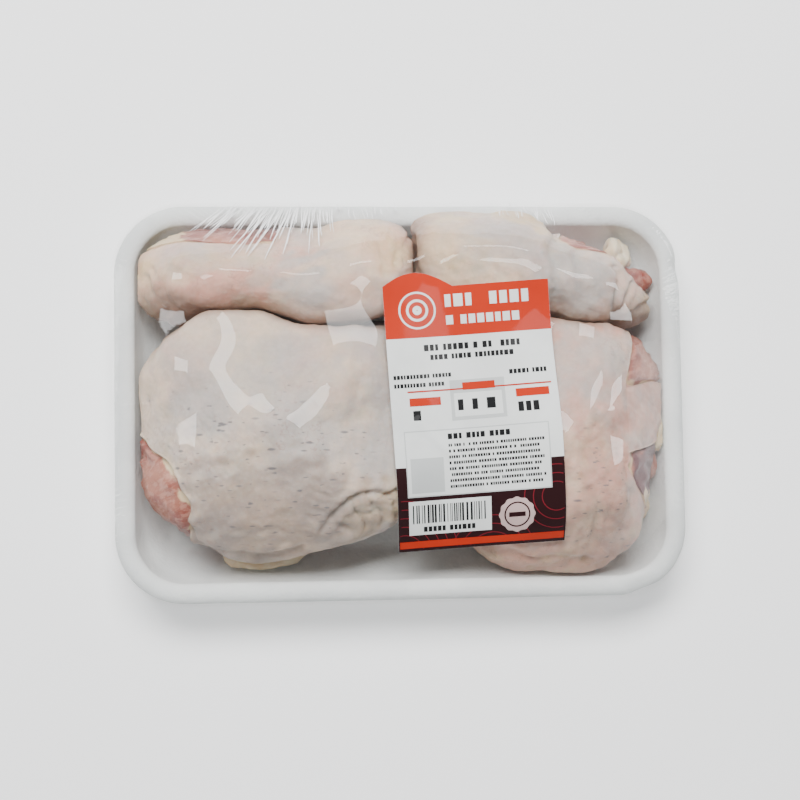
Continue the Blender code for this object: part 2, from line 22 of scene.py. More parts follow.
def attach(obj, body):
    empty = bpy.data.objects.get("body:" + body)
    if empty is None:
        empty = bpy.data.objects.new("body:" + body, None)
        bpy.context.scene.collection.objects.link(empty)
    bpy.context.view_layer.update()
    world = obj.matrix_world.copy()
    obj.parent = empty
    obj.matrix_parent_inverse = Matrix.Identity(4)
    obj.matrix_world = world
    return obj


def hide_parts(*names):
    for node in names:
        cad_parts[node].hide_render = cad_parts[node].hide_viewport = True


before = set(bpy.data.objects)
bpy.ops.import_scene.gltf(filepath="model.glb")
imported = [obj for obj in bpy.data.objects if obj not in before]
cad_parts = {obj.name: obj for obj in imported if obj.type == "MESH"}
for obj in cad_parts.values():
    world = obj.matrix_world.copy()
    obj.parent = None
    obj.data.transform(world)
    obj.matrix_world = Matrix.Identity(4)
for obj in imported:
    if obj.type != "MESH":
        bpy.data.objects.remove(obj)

MM = 0.001
BODY = "root"
PRINT_STEP = 0.7
LETTER_WIDTHS = (0.45, 0.8)
LETTER_GAP = 0.22
SPACE = 0.6
SPACE_CHANCE = 0.16
LOG = logging.getLogger("tray_pack")
Array = np.ndarray
Colour = tuple[float, float, float]
Triple = tuple[float, float, float]
Pair = tuple[float, float]


class Ink(Enum):
    """The flat colours printed on the label, as linear red, green and blue."""

    RED = (0.50, 0.028, 0.007)
    WINE = (0.19, 0.012, 0.022)
    MAROON = (0.022, 0.006, 0.007)
    BLACK = (0.012, 0.012, 0.013)
    GREY = (0.56, 0.58, 0.57)
    WHITE = (0.80, 0.82, 0.80)
    BLUSH = (0.55, 0.40, 0.38)


class Side(Enum):
    """Which way the faces of a sheet look."""

    UP = 1
    DOWN = -1


# Numbers and meshes


class WaveNoise:
    """Smooth noise as a sum of plane waves in random directions, of about unit spread."""

    def __init__(self, seed: int, wavelength: float, waves: int = 22) -> None:
        """Draws the waves.

        Args:
            seed: Start of the random draw.
            wavelength: Middle wavelength in metres.
            waves: How many waves are added up.
        """
        draw = np.random.default_rng(seed)
        heading = draw.normal(size=(waves, 3))
        heading /= np.linalg.norm(heading, axis=1)[:, None]
        stretch = draw.uniform(0.65, 1.5, size=(waves, 1))
        self.vectors = heading * stretch * 2 * math.pi / wavelength
        self.phases = draw.uniform(0, 2 * math.pi, size=waves)
        self.share = math.sqrt(2.0 / waves)

    def at(self, points: Array) -> Array:
        """The noise at each point.

        Args:
            points: Places as rows of x, y and z.

        Returns:
            One value per point.
        """
        return np.sin(points @ self.vectors.T + self.phases).sum(axis=1) * self.share


def smooth_step(low: float | Array, high: float | Array, value: Array) -> Array:
    """0 below low, 1 above high and a smooth rise between them."""
    share = np.clip((value - low) / (high - low), 0, 1)
    return share * share * (3 - 2 * share)


def turned(vectors: Array, degrees: float) -> Array:
    """Vectors turned about Z by an angle in degrees."""
    c, s = math.cos(math.radians(degrees)), math.sin(math.radians(degrees))
    x, y, z = vectors.T
    return np.column_stack([c * x - s * y, s * x + c * y, z])


def unit(vectors: Array) -> Array:
    """Vectors at length one."""
    return vectors / np.maximum(np.linalg.norm(vectors, axis=1)[:, None], 1e-12)


def sheet_faces(columns: int, rows: int, start: int = 0, side: Side = Side.UP) -> Array:
    """The quads of a grid whose point (i, j) has the number start + i * (rows + 1) + j.

    Args:
        columns: Cells along the first direction.
        rows: Cells along the second direction.
        start: Number of the first point.
        side: UP keeps counter-clockwise quads, DOWN turns them over.

    Returns:
        One row of four point numbers per quad.
    """
    i, j = np.meshgrid(np.arange(columns), np.arange(rows), indexing="ij")
    corner = start + (i * (rows + 1) + j).ravel()
    quads = np.column_stack([corner, corner + rows + 1, corner + rows + 2, corner + 1])
    return quads if side is Side.UP else quads[:, ::-1]


def border_of(columns: int, rows: int) -> Array:
    """The point numbers round the edge of such a grid, counter-clockwise from its first point."""
    tall = rows + 1
    south = np.arange(columns) * tall
    east = columns * tall + np.arange(rows)
    north = np.arange(columns, 0, -1) * tall + rows
    west = np.arange(rows, 0, -1)
    return np.concatenate([south, east, north, west])


def band_faces(first: Array, second: Array) -> Array:
    """The quads between two closed rings of point numbers that run the same way."""
    return np.column_stack([first, second, np.roll(second, -1), np.roll(first, -1)])


def ball_faces(rows: int, around: int) -> list[Sequence[int]]:
    """The faces of a closed form: a first point, rows of points round it and a last point.

    Args:
        rows: How many rows there are.
        around: Points in each row.

    Returns:
        Point numbers of each face.
    """
    index = np.arange(around)
    end = 1 + rows * around
    faces = [(0, 1 + k, 1 + (k + 1) % around) for k in range(around)]
    for first in 1 + around * np.arange(rows - 1):
        faces += list(band_faces(first + around + index, first + index)[:, ::-1])
    return faces + [(end, end - around + (k + 1) % around, end - around + k) for k in range(around)]


def pairs(first: Array, second: Array) -> tuple[Array, Array]:
    """Every pair of two rows of numbers as two flat arrays, in the order of a grid's points."""
    u, v = np.meshgrid(first, second, indexing="ij")
    return u.ravel(), v.ravel()


def build_object(
    name: str,
    points: Array,
    faces: Sequence[Sequence[int]],
    materials: Sequence[Material],
    attributes: dict[str, Array] | None = None,
    picks: Array | None = None,
    sharp: float = 60.0,
) -> Object:
    """Makes a smooth mesh object in the scene.

    Args:
        name: Name of the object.
        points: Places of its points.
        faces: Point numbers of each face.
        materials: Materials of its slots.
        attributes: Values per point, by name, of one or three numbers each.
        picks: The slot of each face, where there are several.
        sharp: Edges over this angle in degrees stay sharp.

    Returns:
        The new object.
    """
    mesh = bpy.data.meshes.new(name)
    mesh.from_pydata(points.tolist(), [], [tuple(int(k) for k in face) for face in faces])
    mesh.validate()
    for label, values in (attributes or {}).items():
        kind, key = ("FLOAT_VECTOR", "vector") if values.ndim == 2 else ("FLOAT", "value")
        layer = mesh.attributes.new(label, kind, "POINT")
        layer.data.foreach_set(key, values.astype(np.float32).ravel())
    for material in materials:
        mesh.materials.append(material)
    if picks is not None:
        mesh.polygons.foreach_set("material_index", picks.astype(np.int32))
    mesh.shade_smooth()
    mesh.set_sharp_from_angle(angle=math.radians(sharp))
    made = bpy.data.objects.new(name, mesh)
    bpy.context.scene.collection.objects.link(made)
    return made


def hand_over(piece: Object, slot: str, *nodes: str) -> Object:
    """Lets a piece ride on the pack and hides the solids it stands for.

    Args:
        piece: The finished piece.
        slot: The record's material slot; not used.
        nodes: Names of the solids that the piece replaces.

    Returns:
        The same piece.
    """
    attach(piece, BODY)
    if nodes:
        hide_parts(*nodes)
    triangles = sum(len(face.vertices) - 2 for face in piece.data.polygons)
    LOG.info("%s: %d triangles", piece.name, triangles)
    return piece


# Shader building


class Nodes:
    """A short way to lay out the nodes of one tree."""

    def __init__(self, tree: NodeTree) -> None:
        """Works on this tree."""
        self.tree = tree

    def add(self, kind: str, **values: object) -> Node:
        """Adds a node.

        Args:
            kind: The node's type without the leading "ShaderNode".
            values: Attributes of the node by name.

        Returns:
            The new node.
        """
        node = self.tree.nodes.new("ShaderNode" + kind)
        for key, value in values.items():
            setattr(node, key, value)
        return node

    def feed(self, socket: NodeSocket, value: object) -> None:
        """Links an output to an input socket, or sets a plain value on it."""
        if isinstance(value, NodeSocket):
            self.tree.links.new(value, socket)
        elif isinstance(value, tuple) and len(value) == 3 and socket.type == "RGBA":
            socket.default_value = (*value, 1.0)
        else:
            socket.default_value = value

    def wire(self, node: Node, **values: object) -> Node:
        """Feeds a node's inputs by name, with _ for a space, and gives the node back."""
        for key, value in values.items():
            self.feed(node.inputs[key.replace("_", " ")], value)
        return node

    def wire_in_order(self, node: Node, *values: object) -> Node:
        """Feeds a node's first inputs in their order, and gives the node back."""
        for socket, value in zip(node.inputs, values):
            self.feed(socket, value)
        return node

    def attribute(self, name: str) -> NodeSocket:
        """A value stored on the mesh's points."""
        return self.add("Attribute", attribute_name=name).outputs["Fac"]

    def vector_attribute(self, name: str) -> NodeSocket:
        """A vector stored on the mesh's points."""
        return self.add("Attribute", attribute_name=name).outputs["Vector"]

    def place(self) -> NodeSocket:
        """The place on the object in metres."""
        return self.add("TexCoord").outputs["Object"]

    def maths(self, operation: str, a: object, b: object = 0.0, clamp: bool = False) -> NodeSocket:
        """One sum on two values or outputs."""
        node = self.add("Math", operation=operation, use_clamp=clamp)
        return self.wire_in_order(node, a, b).outputs[0]

    def ramp(
        self, value: object, low: float, high: float, start: float = 0.0, end: float = 1.0
    ) -> NodeSocket:
        """A smooth rise from start to end while value goes from low to high."""
        node = self.add("MapRange", interpolation_type="SMOOTHSTEP")
        return self.wire_in_order(node, value, low, high, start, end).outputs["Result"]

    def grey(self, value: object) -> NodeSocket:
        """A value as a grey colour."""
        return self.wire_in_order(self.add("CombineColor"), value, value, value).outputs[0]

    def mix(self, share: object, first: object, second: object, blend: str = "MIX") -> NodeSocket:
        """A blend of two colours."""
        node = self.add("Mix", data_type="RGBA", blend_type=blend)
        self.feed(node.inputs["Factor"], share)
        self.feed(node.inputs[6], first)
        self.feed(node.inputs[7], second)
        return node.outputs[2]

    def noise(
        self, scale: object, detail: float = 3.0, rough: float = 0.55, place: object = None
    ) -> NodeSocket:
        """Cloudy noise from about 0.3 to 0.7, at a scale in waves to the metre."""
        place = self.place() if place is None else place
        node = self.wire(self.add("TexNoise"), Vector=place, Scale=scale, Detail=detail, Roughness=rough)
        return node.outputs["Fac"]

    def cells(self, scale: float, place: object) -> NodeSocket:
        """The distance to the nearest of many scattered points."""
        return self.wire(self.add("TexVoronoi"), Vector=place, Scale=scale).outputs["Distance"]

    def bump(
        self, height: object, depth: float, strength: float = 1.0, below: object = None
    ) -> NodeSocket:
        """A normal bent by a height, over another normal if one is given."""
        node = self.wire(self.add("Bump"), Height=height, Distance=depth, Strength=strength)
        if below is not None:
            self.feed(node.inputs["Normal"], below)
        return node.outputs["Normal"]


def new_group(
    name: str, inputs: Iterable[tuple[str, str, object]], outputs: Iterable[tuple[str, str]]
) -> tuple[Nodes, Node, Node]:
    """Starts a shader node group.

    Args:
        name: Name of the group.
        inputs: Name, socket type and first value of each input.
        outputs: Name and socket type of each output.

    Returns:
        The group's nodes, its input node and its output node.
    """
    tree = bpy.data.node_groups.new(name, "ShaderNodeTree")
    for label, kind, value in inputs:
        socket = tree.interface.new_socket(label, in_out="INPUT", socket_type=kind)
        socket.default_value = value
    for label, kind in outputs:
        tree.interface.new_socket(label, in_out="OUTPUT", socket_type=kind)
    kit = Nodes(tree)
    return kit, tree.nodes.new("NodeGroupInput"), tree.nodes.new("NodeGroupOutput")


def placed_group(kit: Nodes, group: NodeTree, **values: object) -> NodeSocket:
    """The output of a group placed in a material with its own values."""
    return kit.wire(kit.add("Group", node_tree=group), **values).outputs[0]


def mottle_group() -> NodeTree:
    """Builds the group that breaks two colours up into soft patches and fine flecks.

    Returns:
        A group with the output Color.
    """
    kit, source, sink = new_group(
        "Mottle",
        [
            ("Light", "NodeSocketColor", (0.8, 0.8, 0.8, 1)),
            ("Dark", "NodeSocketColor", (0.5, 0.5, 0.5, 1)),
            ("Scale", "NodeSocketFloat", 60.0),
            ("Flecks", "NodeSocketFloat", 0.2),
        ],
        [("Color", "NodeSocketColor")],
    )
    place, scale = kit.place(), source.outputs["Scale"]
    broad = kit.noise(scale, 4.0, 0.5, place)
    fine = kit.noise(kit.maths("MULTIPLY", scale, 9.0), 2.0, 0.5, place)
    share = kit.ramp(broad, 0.38, 0.62)
    grain = kit.maths("MULTIPLY", kit.maths("SUBTRACT", fine, 0.5), source.outputs["Flecks"])
    share = kit.maths("ADD", share, grain, clamp=True)
    kit.feed(sink.inputs["Color"], kit.mix(share, source.outputs["Dark"], source.outputs["Light"]))
    return kit.tree


def pore_group() -> NodeTree:
    """Builds the group for small raised or sunk points, such as pores and foam beads.

    Returns:
        A group with the output Height, 1 in the middle of a point and 0 between points.
    """
    kit, source, sink = new_group(
        "Pores",
        [("Scale", "NodeSocketFloat", 500.0), ("Size", "NodeSocketFloat", 0.5)],
        [("Height", "NodeSocketFloat")],
    )
    wander = kit.wire(kit.add("TexNoise"), Vector=kit.place(), Scale=90.0)
    bent = kit.add("VectorMath", operation="MULTIPLY_ADD")
    kit.wire_in_order(bent, wander.outputs["Color"], (2 * MM, 2 * MM, 2 * MM), kit.place())
    cells = kit.add("TexVoronoi", feature="SMOOTH_F1")
    kit.wire(cells, Vector=bent.outputs["Vector"], Scale=source.outputs["Scale"])
    near = kit.maths("DIVIDE", cells.outputs["Distance"], source.outputs["Size"])
    kit.feed(sink.inputs["Height"], kit.ramp(near, 0.0, 1.0, 1.0, 0.0))
    return kit.tree


MOTTLE = mottle_group()
PORES = pore_group()


def mottled(kit: Nodes, light: Colour, dark: Colour, scale: float, flecks: float) -> NodeSocket:
    """Two colours in soft patches with flecks, at a scale in waves to the metre."""
    return placed_group(kit, MOTTLE, Light=light, Dark=dark, Scale=scale, Flecks=flecks)


def scatter(kit: Nodes, shader: Node, weight: float, reach: Colour, scale: float = 0.8) -> None:
    """Lets light scatter under a surface, with its reach in red, green and blue in metres."""
    kit.wire(shader, Subsurface_Weight=weight, Subsurface_Radius=reach, Subsurface_Scale=scale)


def start_material(name: str) -> tuple[Material, Nodes, Node]:
    """Starts a material with one Principled shader.

    Args:
        name: Name of the material.

    Returns:
        The material, its nodes and the shader.
    """
    material = bpy.data.materials.new(name)
    material.use_nodes = True
    kit = Nodes(material.node_tree)
    return material, kit, material.node_tree.nodes["Principled BSDF"]


@dataclass(frozen=True)
class FoamFinish:
    """White foamed plastic with a fine bead texture."""

    light: Colour = (0.80, 0.82, 0.81)
    dark: Colour = (0.72, 0.74, 0.735)
    roughness: float = 0.42
    specular: float = 0.3
    beads_per_metre: float = 900.0
    bead_depth: float = 0.12 * MM

    def material(self) -> Material:
        """Builds the foam material."""
        made, kit, shader = start_material("tray_foam")
        base = mottled(kit, self.light, self.dark, 45.0, 0.5)
        beads = placed_group(kit, PORES, Scale=self.beads_per_metre, Size=0.8)
        kit.wire(shader, Base_Color=base, Normal=kit.bump(beads, self.bead_depth, 0.6))
        kit.wire(shader, Roughness=self.roughness, Specular_IOR_Level=self.specular)
        scatter(kit, shader, 0.15, (0.004, 0.004, 0.004), 1.0)
        return made


@dataclass(frozen=True)
class SkinFinish:
    """Moist raw skin: cream and bluish patches, yellow fat under it, pores, dark follicle specks and brown
    painted shade.
    """

    cream: Colour = (0.79, 0.595, 0.43)
    lilac: Colour = (0.47, 0.42, 0.39)
    ashen: Colour = (0.50, 0.43, 0.29)
    yellow: Colour = (0.72, 0.52, 0.24)
    pink: Colour = (0.66, 0.34, 0.26)
    vein: Colour = (0.36, 0.18, 0.15)
    # painted shade: the brown laid where the mesh's shade share is high
    shade: Colour = (0.25, 0.16, 0.115)
    speck: Colour = (0.13, 0.125, 0.14)
    pore: Colour = (0.85, 0.80, 0.70)
    roughness: float = 0.42
    specular: float = 0.25
    pores_per_metre: float = 620.0
    pore_depth: float = 0.16 * MM

    def material(self) -> Material:
        """Builds the skin material. It reads yellow, pink, grey, painted shade and specks from the mesh."""
        made, kit, shader = start_material("raw_skin")
        base = mottled(kit, self.cream, self.lilac, 30.0, 0.3)
        olive = kit.ramp(kit.noise(85.0, 3.0), 0.50, 0.70, 0.0, 0.45)
        base = kit.mix(olive, base, self.ashen)
        cloud = kit.ramp(kit.noise(130.0, 4.0), 0.35, 0.65, 0.6, 1.1)
        base = kit.mix(self.share(kit, "yellow", cloud), base, self.yellow)
        blush = kit.ramp(kit.noise(75.0, 3.0), 0.35, 0.6, 0.35, 1.0)
        base = kit.mix(self.share(kit, "pink", blush), base, self.pink)
        dull = kit.ramp(kit.noise(48.0, 4.0), 0.36, 0.62, 0.45, 1.15)
        base = kit.mix(self.share(kit, "grey", dull), base, self.lilac)
        # painted shade, laid by the mesh's shade share
        base = kit.mix(kit.attribute("shade"), base, self.shade)
        base = kit.mix(self.veins(kit), base, self.vein)
        fine = kit.ramp(kit.noise(330.0, 5.0, 0.7), 0.36, 0.64, 0.95, 1.04)
        base = kit.mix(1.0, base, kit.grey(fine), "MULTIPLY")
        pores = placed_group(kit, PORES, Scale=self.pores_per_metre, Size=0.75)
        base = kit.mix(kit.maths("MULTIPLY", pores, 0.07), base, self.pore)
        base = kit.mix(self.specks(kit), base, self.speck)
        normal = kit.bump(kit.noise(240.0, 4.0, 0.6), 0.5 * MM, 0.32)
        normal = kit.bump(pores, self.pore_depth, 0.5, normal)
        sheen = kit.ramp(kit.noise(160.0), 0.3, 0.7, self.roughness - 0.06, self.roughness + 0.1)
        kit.wire(shader, Base_Color=base, Normal=normal, Roughness=sheen, Specular_IOR_Level=self.specular)
        scatter(kit, shader, 0.22, (0.006, 0.0025, 0.0015))
        return made

    @staticmethod
    def share(kit: Nodes, name: str, cloud: NodeSocket) -> NodeSocket:
        """How much of a tone shows: the mesh's own share of it, broken up by a cloud."""
        return kit.maths("MULTIPLY", kit.attribute(name), cloud, clamp=True)

    def veins(self, kit: Nodes) -> NodeSocket:
        """The share of thin branching veins."""
        middle = kit.maths("ABSOLUTE", kit.maths("SUBTRACT", kit.noise(62.0, 4.0, 0.62), 0.5))
        patchy = kit.ramp(kit.noise(24.0, 2.0), 0.48, 0.60)
        return kit.maths("MULTIPLY", kit.ramp(middle, 0.0, 0.011, 0.34, 0.0), patchy)

    def specks(self, kit: Nodes) -> NodeSocket:
        """The share of the dark, slightly drawn-out follicle specks, in two sizes."""
        lean = (0, 0, math.radians(24))
        stretched = kit.wire(kit.add("Mapping"), Vector=kit.place(), Rotation=lean, Scale=(0.5, 1.75, 1.0))
        place = stretched.outputs["Vector"]
        total: object = 0.0
        for scale, wide, rare, dark in ((215.0, 0.25, 0.45, 0.8), (340.0, 0.26, 0.47, 0.7)):
            spot = kit.ramp(kit.cells(scale, place), 0.10, wide, dark, 0.0)
            kept = kit.ramp(kit.noise(scale * 0.9, 1.0), rare, rare + 0.06)
            total = kit.maths("MAXIMUM", total, kit.maths("MULTIPLY", spot, kept))
        return kit.maths("MULTIPLY", total, kit.attribute("specks"), clamp=True)


@dataclass(frozen=True)
class MeatFinish:
    """Wet raw dark meat with fibres, paler membrane and fat."""

    rose: Colour = (0.45, 0.175, 0.115)
    deep: Colour = (0.27, 0.07, 0.05)
    dark: Colour = (0.12, 0.022, 0.026)
    fat: Colour = (0.72, 0.55, 0.34)
    fibre: Colour = (0.62, 0.34, 0.26)
    roughness: float = 0.28
    specular: float = 0.35

    def material(self) -> Material:
        """Builds the meat material. It reads fat, dark and along from the mesh."""
        made, kit, shader = start_material("raw_meat")
        fibres = kit.noise(1.0, 3.0, 0.6, kit.vector_attribute("along"))
        base = mottled(kit, self.rose, self.deep, 70.0, 0.4)
        base = kit.mix(kit.ramp(fibres, 0.45, 0.62, 0.0, 0.45), base, self.fibre)
        base = kit.mix(kit.attribute("dark"), base, self.dark)
        uneven = kit.maths("SUBTRACT", kit.noise(150.0, 4.0), 0.5)
        fat = kit.maths("ADD", kit.attribute("fat"), uneven)
        base = kit.mix(kit.ramp(fat, 0.35, 0.6), base, self.fat)
        normal = kit.bump(fibres, 0.5 * MM, 0.5)
        normal = kit.bump(kit.noise(420.0, 3.0), 0.2 * MM, 0.4, normal)
        kit.wire(shader, Base_Color=base, Normal=normal)
        kit.wire(shader, Roughness=self.roughness, Specular_IOR_Level=self.specular)
        scatter(kit, shader, 0.2, (0.005, 0.0015, 0.001))
        return made


@dataclass(frozen=True)
class FatFinish:
    """Pale yellow fat, moist and lumpy."""

    light: Colour = (0.78, 0.66, 0.47)
    dark: Colour = (0.68, 0.50, 0.30)
    roughness: float = 0.35

    def material(self) -> Material:
        """Builds the fat material."""
        made, kit, shader = start_material("raw_fat")
        base = mottled(kit, self.light, self.dark, 110.0, 0.4)
        normal = kit.bump(kit.noise(480.0, 3.0), 0.3 * MM, 0.5)
        kit.wire(shader, Base_Color=base, Normal=normal, Roughness=self.roughness)
        scatter(kit, shader, 0.3, (0.005, 0.003, 0.0015))
        return made


@dataclass(frozen=True)
class FilmFinish:
    """Clear stretch film: it mirrors what glass mirrors, by angle, and lets the rest through."""

    index: float = 1.55
    tint: Colour = (0.985, 0.985, 0.98)
    roughness: float = 0.015

    def material(self) -> Material:
        """Builds the film material. It reads rim, the place along and in from the rim, and pleats."""
        made = bpy.data.materials.new("clear_film")
        made.use_nodes = True
        made.node_tree.nodes.clear()
        kit = Nodes(made.node_tree)
        pleats = kit.noise(1.0, 2.0, 0.5, kit.vector_attribute("rim"))
        pleats = kit.maths("MULTIPLY", pleats, kit.attribute("pleats"))
        soft = kit.bump(kit.noise(38.0, 2.0), 0.25 * MM, 0.18)
        normal = kit.bump(pleats, 1.1 * MM, 1.0, soft)
        mirror = kit.wire(kit.add("BsdfGlossy"), Roughness=self.roughness, Normal=normal)
        clear = kit.wire(kit.add("BsdfTransparent"), Color=self.tint)
        bend = kit.wire(kit.add("Fresnel"), IOR=self.index, Normal=normal)
        outside = kit.maths("SUBTRACT", 1.0, kit.add("NewGeometry").outputs["Backfacing"])
        share = kit.maths("MULTIPLY", bend.outputs[0], outside)
        blend = kit.wire_in_order(kit.add("MixShader"), share, clear.outputs[0], mirror.outputs[0])
        kit.wire(kit.add("OutputMaterial"), Surface=blend.outputs[0])
        return made


@dataclass(frozen=True)
class PleatHighlightFinish:
    """Gathered film in near-opaque white: a painted highlight for the glints on its fine pleats."""

    # painted highlight: near-white and almost opaque
    colour: Colour = (0.98, 0.98, 0.98)
    alpha: float = 0.95
    roughness: float = 0.16

    def material(self) -> Material:
        """Builds the gathered film's material, whose white is a painted highlight."""
        made, kit, shader = start_material("film_pleat_highlight")
        kit.wire(shader, Base_Color=self.colour, Roughness=self.roughness, Alpha=self.alpha)
        return made


@dataclass(frozen=True)
class PaperFinish:
    """Coated paper, or one ink printed on it."""

    name: str
    colour: Colour
    roughness: float = 0.42
    specular: float = 0.14
    coat: float = 0.14
    coat_roughness: float = 0.05

    def material(self) -> Material:
        """Builds the paper material."""
        made, kit, shader = start_material(self.name)
        dimmer = tuple(0.93 * part for part in self.colour)
        base = mottled(kit, self.colour, dimmer, 60.0, 0.5)
        kit.wire(shader, Base_Color=base, Normal=kit.bump(kit.noise(70.0, 3.0), 0.5 * MM, 0.25))
        kit.wire(shader, Roughness=self.roughness, Specular_IOR_Level=self.specular)
        kit.wire(shader, Coat_Weight=self.coat, Coat_Roughness=self.coat_roughness)
        return made


# Tray


@dataclass(frozen=True)
class Dent:
    """A small knock in the tray's lip: its place in plan, its reach and its depth."""

    x: float
    y: float
    reach: float
    depth: float


@dataclass
class Tray:
    """The foam tray: flared walls, a rolled lip, a flat floor and a foot round a shallow recess."""

    half_x: float = 103.9 * MM
    half_y: float = 71.9 * MM
    corner: float = 25.0 * MM
    height: float = 25.5 * MM
    foam: float = 3.6 * MM
    flare: float = 15.0 * MM
    lip: float = 5.5 * MM
    lip_roll: float = 3.4 * MM
    foot: float = 8.0 * MM
    recess: float = 1.0 * MM
    fillet: float = 7.0 * MM
    sharpest_corner: float = 4.0 * MM
    base: float = 0.7 * MM
    corner_steps: int = 22
    long_steps: int = 56
    short_steps: int = 36
    seed: int = 5
    dents: tuple[Dent, ...] = (
        Dent(87 * MM, -69 * MM, 5 * MM, 1.6 * MM),
        Dent(103 * MM, 49 * MM, 4 * MM, 1.4 * MM),
    )
    finish: FoamFinish = field(default_factory=FoamFinish)

    @property
    def floor(self) -> float:
        """Height of the inner floor."""
        return self.base + self.foam

    @property
    def rim(self) -> float:
        """Height of the lip's top."""
        return self.base + self.height

    def radius(self, offset: float | Array) -> float | Array:
        """Corner radius of the outline moved out by offset."""
        return np.maximum(self.corner + offset, self.sharpest_corner)

    def ring(self, offset: float) -> Array:
        """The plan outline moved out by offset, counter-clockwise, as rows of x and y."""
        half_x, half_y, radius = self.half_x + offset, self.half_y + offset, self.radius(offset)
        corners = (
            (half_x - radius, half_y - radius, 0, self.long_steps),
            (radius - half_x, half_y - radius, 90, self.short_steps),
            (radius - half_x, radius - half_y, 180, self.long_steps),
            (half_x - radius, radius - half_y, 270, self.short_steps),
        )
        points: list[Array] = []
        for k, (x, y, start, steps) in enumerate(corners):
            arc = np.radians(start + np.linspace(0, 90, self.corner_steps + 1))
            bend = np.column_stack([x + radius * np.cos(arc), y + radius * np.sin(arc)])
            x_next, y_next, start_next, _ = corners[(k + 1) % 4]
            angle = math.radians(start_next)
            goal = np.array([x_next + radius * math.cos(angle), y_next + radius * math.sin(angle)])
            shares = np.arange(1, steps)[:, None] / steps
            points += [bend, bend[-1] + (goal - bend[-1]) * shares]
        return np.vstack(points)

    def inside(self, points: Array, offset: float | Array = 0.0) -> Array:
        """How far each point lies outside the outline moved out by offset. Negative is inside."""
        radius = self.radius(offset)
        over_x = np.abs(points[:, 0]) - (self.half_x + offset - radius)
        over_y = np.abs(points[:, 1]) - (self.half_y + offset - radius)
        outside = np.hypot(np.maximum(over_x, 0), np.maximum(over_y, 0))
        return outside + np.minimum(np.maximum(over_x, over_y), 0) - radius

    def inner_wall(self, height: Array) -> Array:
        """The inner wall's offset from the outline at each height."""
        share = np.clip((height - self.floor) / (self.rim - self.floor), 0, 1)
        low, high = -(self.flare + self.foam), -(self.lip + 2 * MM)
        return low + share * (high - low)

    def kept_in(self, points: Array, gap: float) -> Array:
        """Points, with those beyond the inner wall moved back level to lie against it."""
        beyond = np.maximum(self.inside(points) - self.inner_wall(points[:, 2]) + gap, 0)
        step = 0.1 * MM
        moves = np.array([[step, 0, 0], [0, step, 0]])
        outwards = np.column_stack([self.inside(points + move) - self.inside(points) for move in moves])
        moved = points.copy()
        moved[:, :2] -= unit(outwards) * beyond[:, None]
        return moved

    def plan(self, u: Array, v: Array, offset: float) -> tuple[Array, Array]:
        """Places in plan of a square grid from -1 to 1, bent into the outline moved out by offset.

        Args:
            u: First grid coordinate.
            v: Second grid coordinate.
            offset: How far the outline is moved out.

        Returns:
            The x and the y of each place.
        """
        half_x, half_y = self.half_x + offset, self.half_y + offset
        radius = float(self.radius(offset))
        x, y = np.abs(u) * half_x, np.abs(v) * half_y
        p, q = (x - half_x + radius) / radius, (y - half_y + radius) / radius
        bent = (p > 0) & (q > 0)
        p, q = np.clip(p, 0, 1), np.clip(q, 0, 1)
        x = np.where(bent, half_x - radius + radius * p * np.sqrt(1 - q * q / 2), x)
        y = np.where(bent, half_y - radius + radius * q * np.sqrt(1 - p * p / 2), y)
        return np.copysign(x, u), np.copysign(y, v)

    def lip_half(self) -> Pair:
        """Half the width and half the height of the lip's round."""
        return self.lip / 2 + MM, self.lip_roll / 2 + MM

    def profile(self) -> list[Pair]:
        """The wall's section, from the recess under the floor over the lip to the inner floor."""
        foot, wall = -self.flare, -(self.lip + self.foam)
        section = [
            (foot - self.foot - 3.0 * MM, self.base + self.recess),
            (foot - self.foot - 1.5 * MM, self.base + self.recess),
            (foot - self.foot, self.base),
            (foot - 1.5 * MM, self.base),
            (foot - 0.4 * MM, self.base + 0.5 * MM),
            (foot + 0.5 * MM, self.base + 1.5 * MM),
            (foot * 0.72, self.base + 0.32 * self.height),
            (foot * 0.42, self.base + 0.62 * self.height),
            (-self.lip_roll, self.rim - 2 * self.lip_roll),
        ]
        half_width, half_height = self.lip_half()
        for a in np.radians(np.linspace(-30, 180, 22)):
            height = self.rim - half_height * (1 - math.sin(a))
            section.append((-half_width + half_width * math.cos(a), height))
        section += [
            (wall - 0.15 * self.foam, self.floor + self.fillet + 7 * MM),
            (wall - 0.5 * self.foam, self.floor + self.fillet + 3 * MM),
            (foot - 0.2 * self.foam, self.floor + 0.62 * self.fillet),
            (foot - 0.7 * self.foam, self.floor + 0.25 * self.fillet),
            (foot - self.foam - 0.6 * MM, self.floor + 0.06 * self.fillet),
            (foot - self.foam - 2 * MM, self.floor),
            (foot - self.foam - 5 * MM, self.floor),
        ]
        return section

    def build(self) -> Object:
        """Builds the tray with its dents and slight unevenness."""
        rings = []
        for offset, height in self.profile():
            ring = self.ring(offset)
            rings.append(np.column_stack([ring, np.full(len(ring), height)]))
        count = len(rings[0])
        points = np.vstack(rings)
        high = smooth_step(self.base + 8 * MM, self.rim - 2 * MM, points[:, 2])
        points[:, 2] += WaveNoise(self.seed, 40 * MM).at(points) * 0.12 * MM * high
        for dent in self.dents:
            near = np.exp(-(np.hypot(points[:, 0] - dent.x, points[:, 1] - dent.y) / dent.reach) ** 2)
            points[:, 2] -= near * dent.depth * high
            points[:, :2] *= 1 - (near * high * dent.depth * 0.4 / self.half_y)[:, None]
        index = np.arange(count)
        firsts = count * np.arange(len(rings) - 1)
        faces = [band_faces(first + index, first + count + index)[:, ::-1] for first in firsts]
        quads = list(np.vstack(faces))
        quads.append(tuple(range(count))[::-1])
        quads.append(tuple((len(rings) - 1) * count + index))
        tray = build_object("foam_tray", points, quads, [self.finish.material()], sharp=35)
        return hand_over(tray, "tray_foam", "tray")


# Chicken


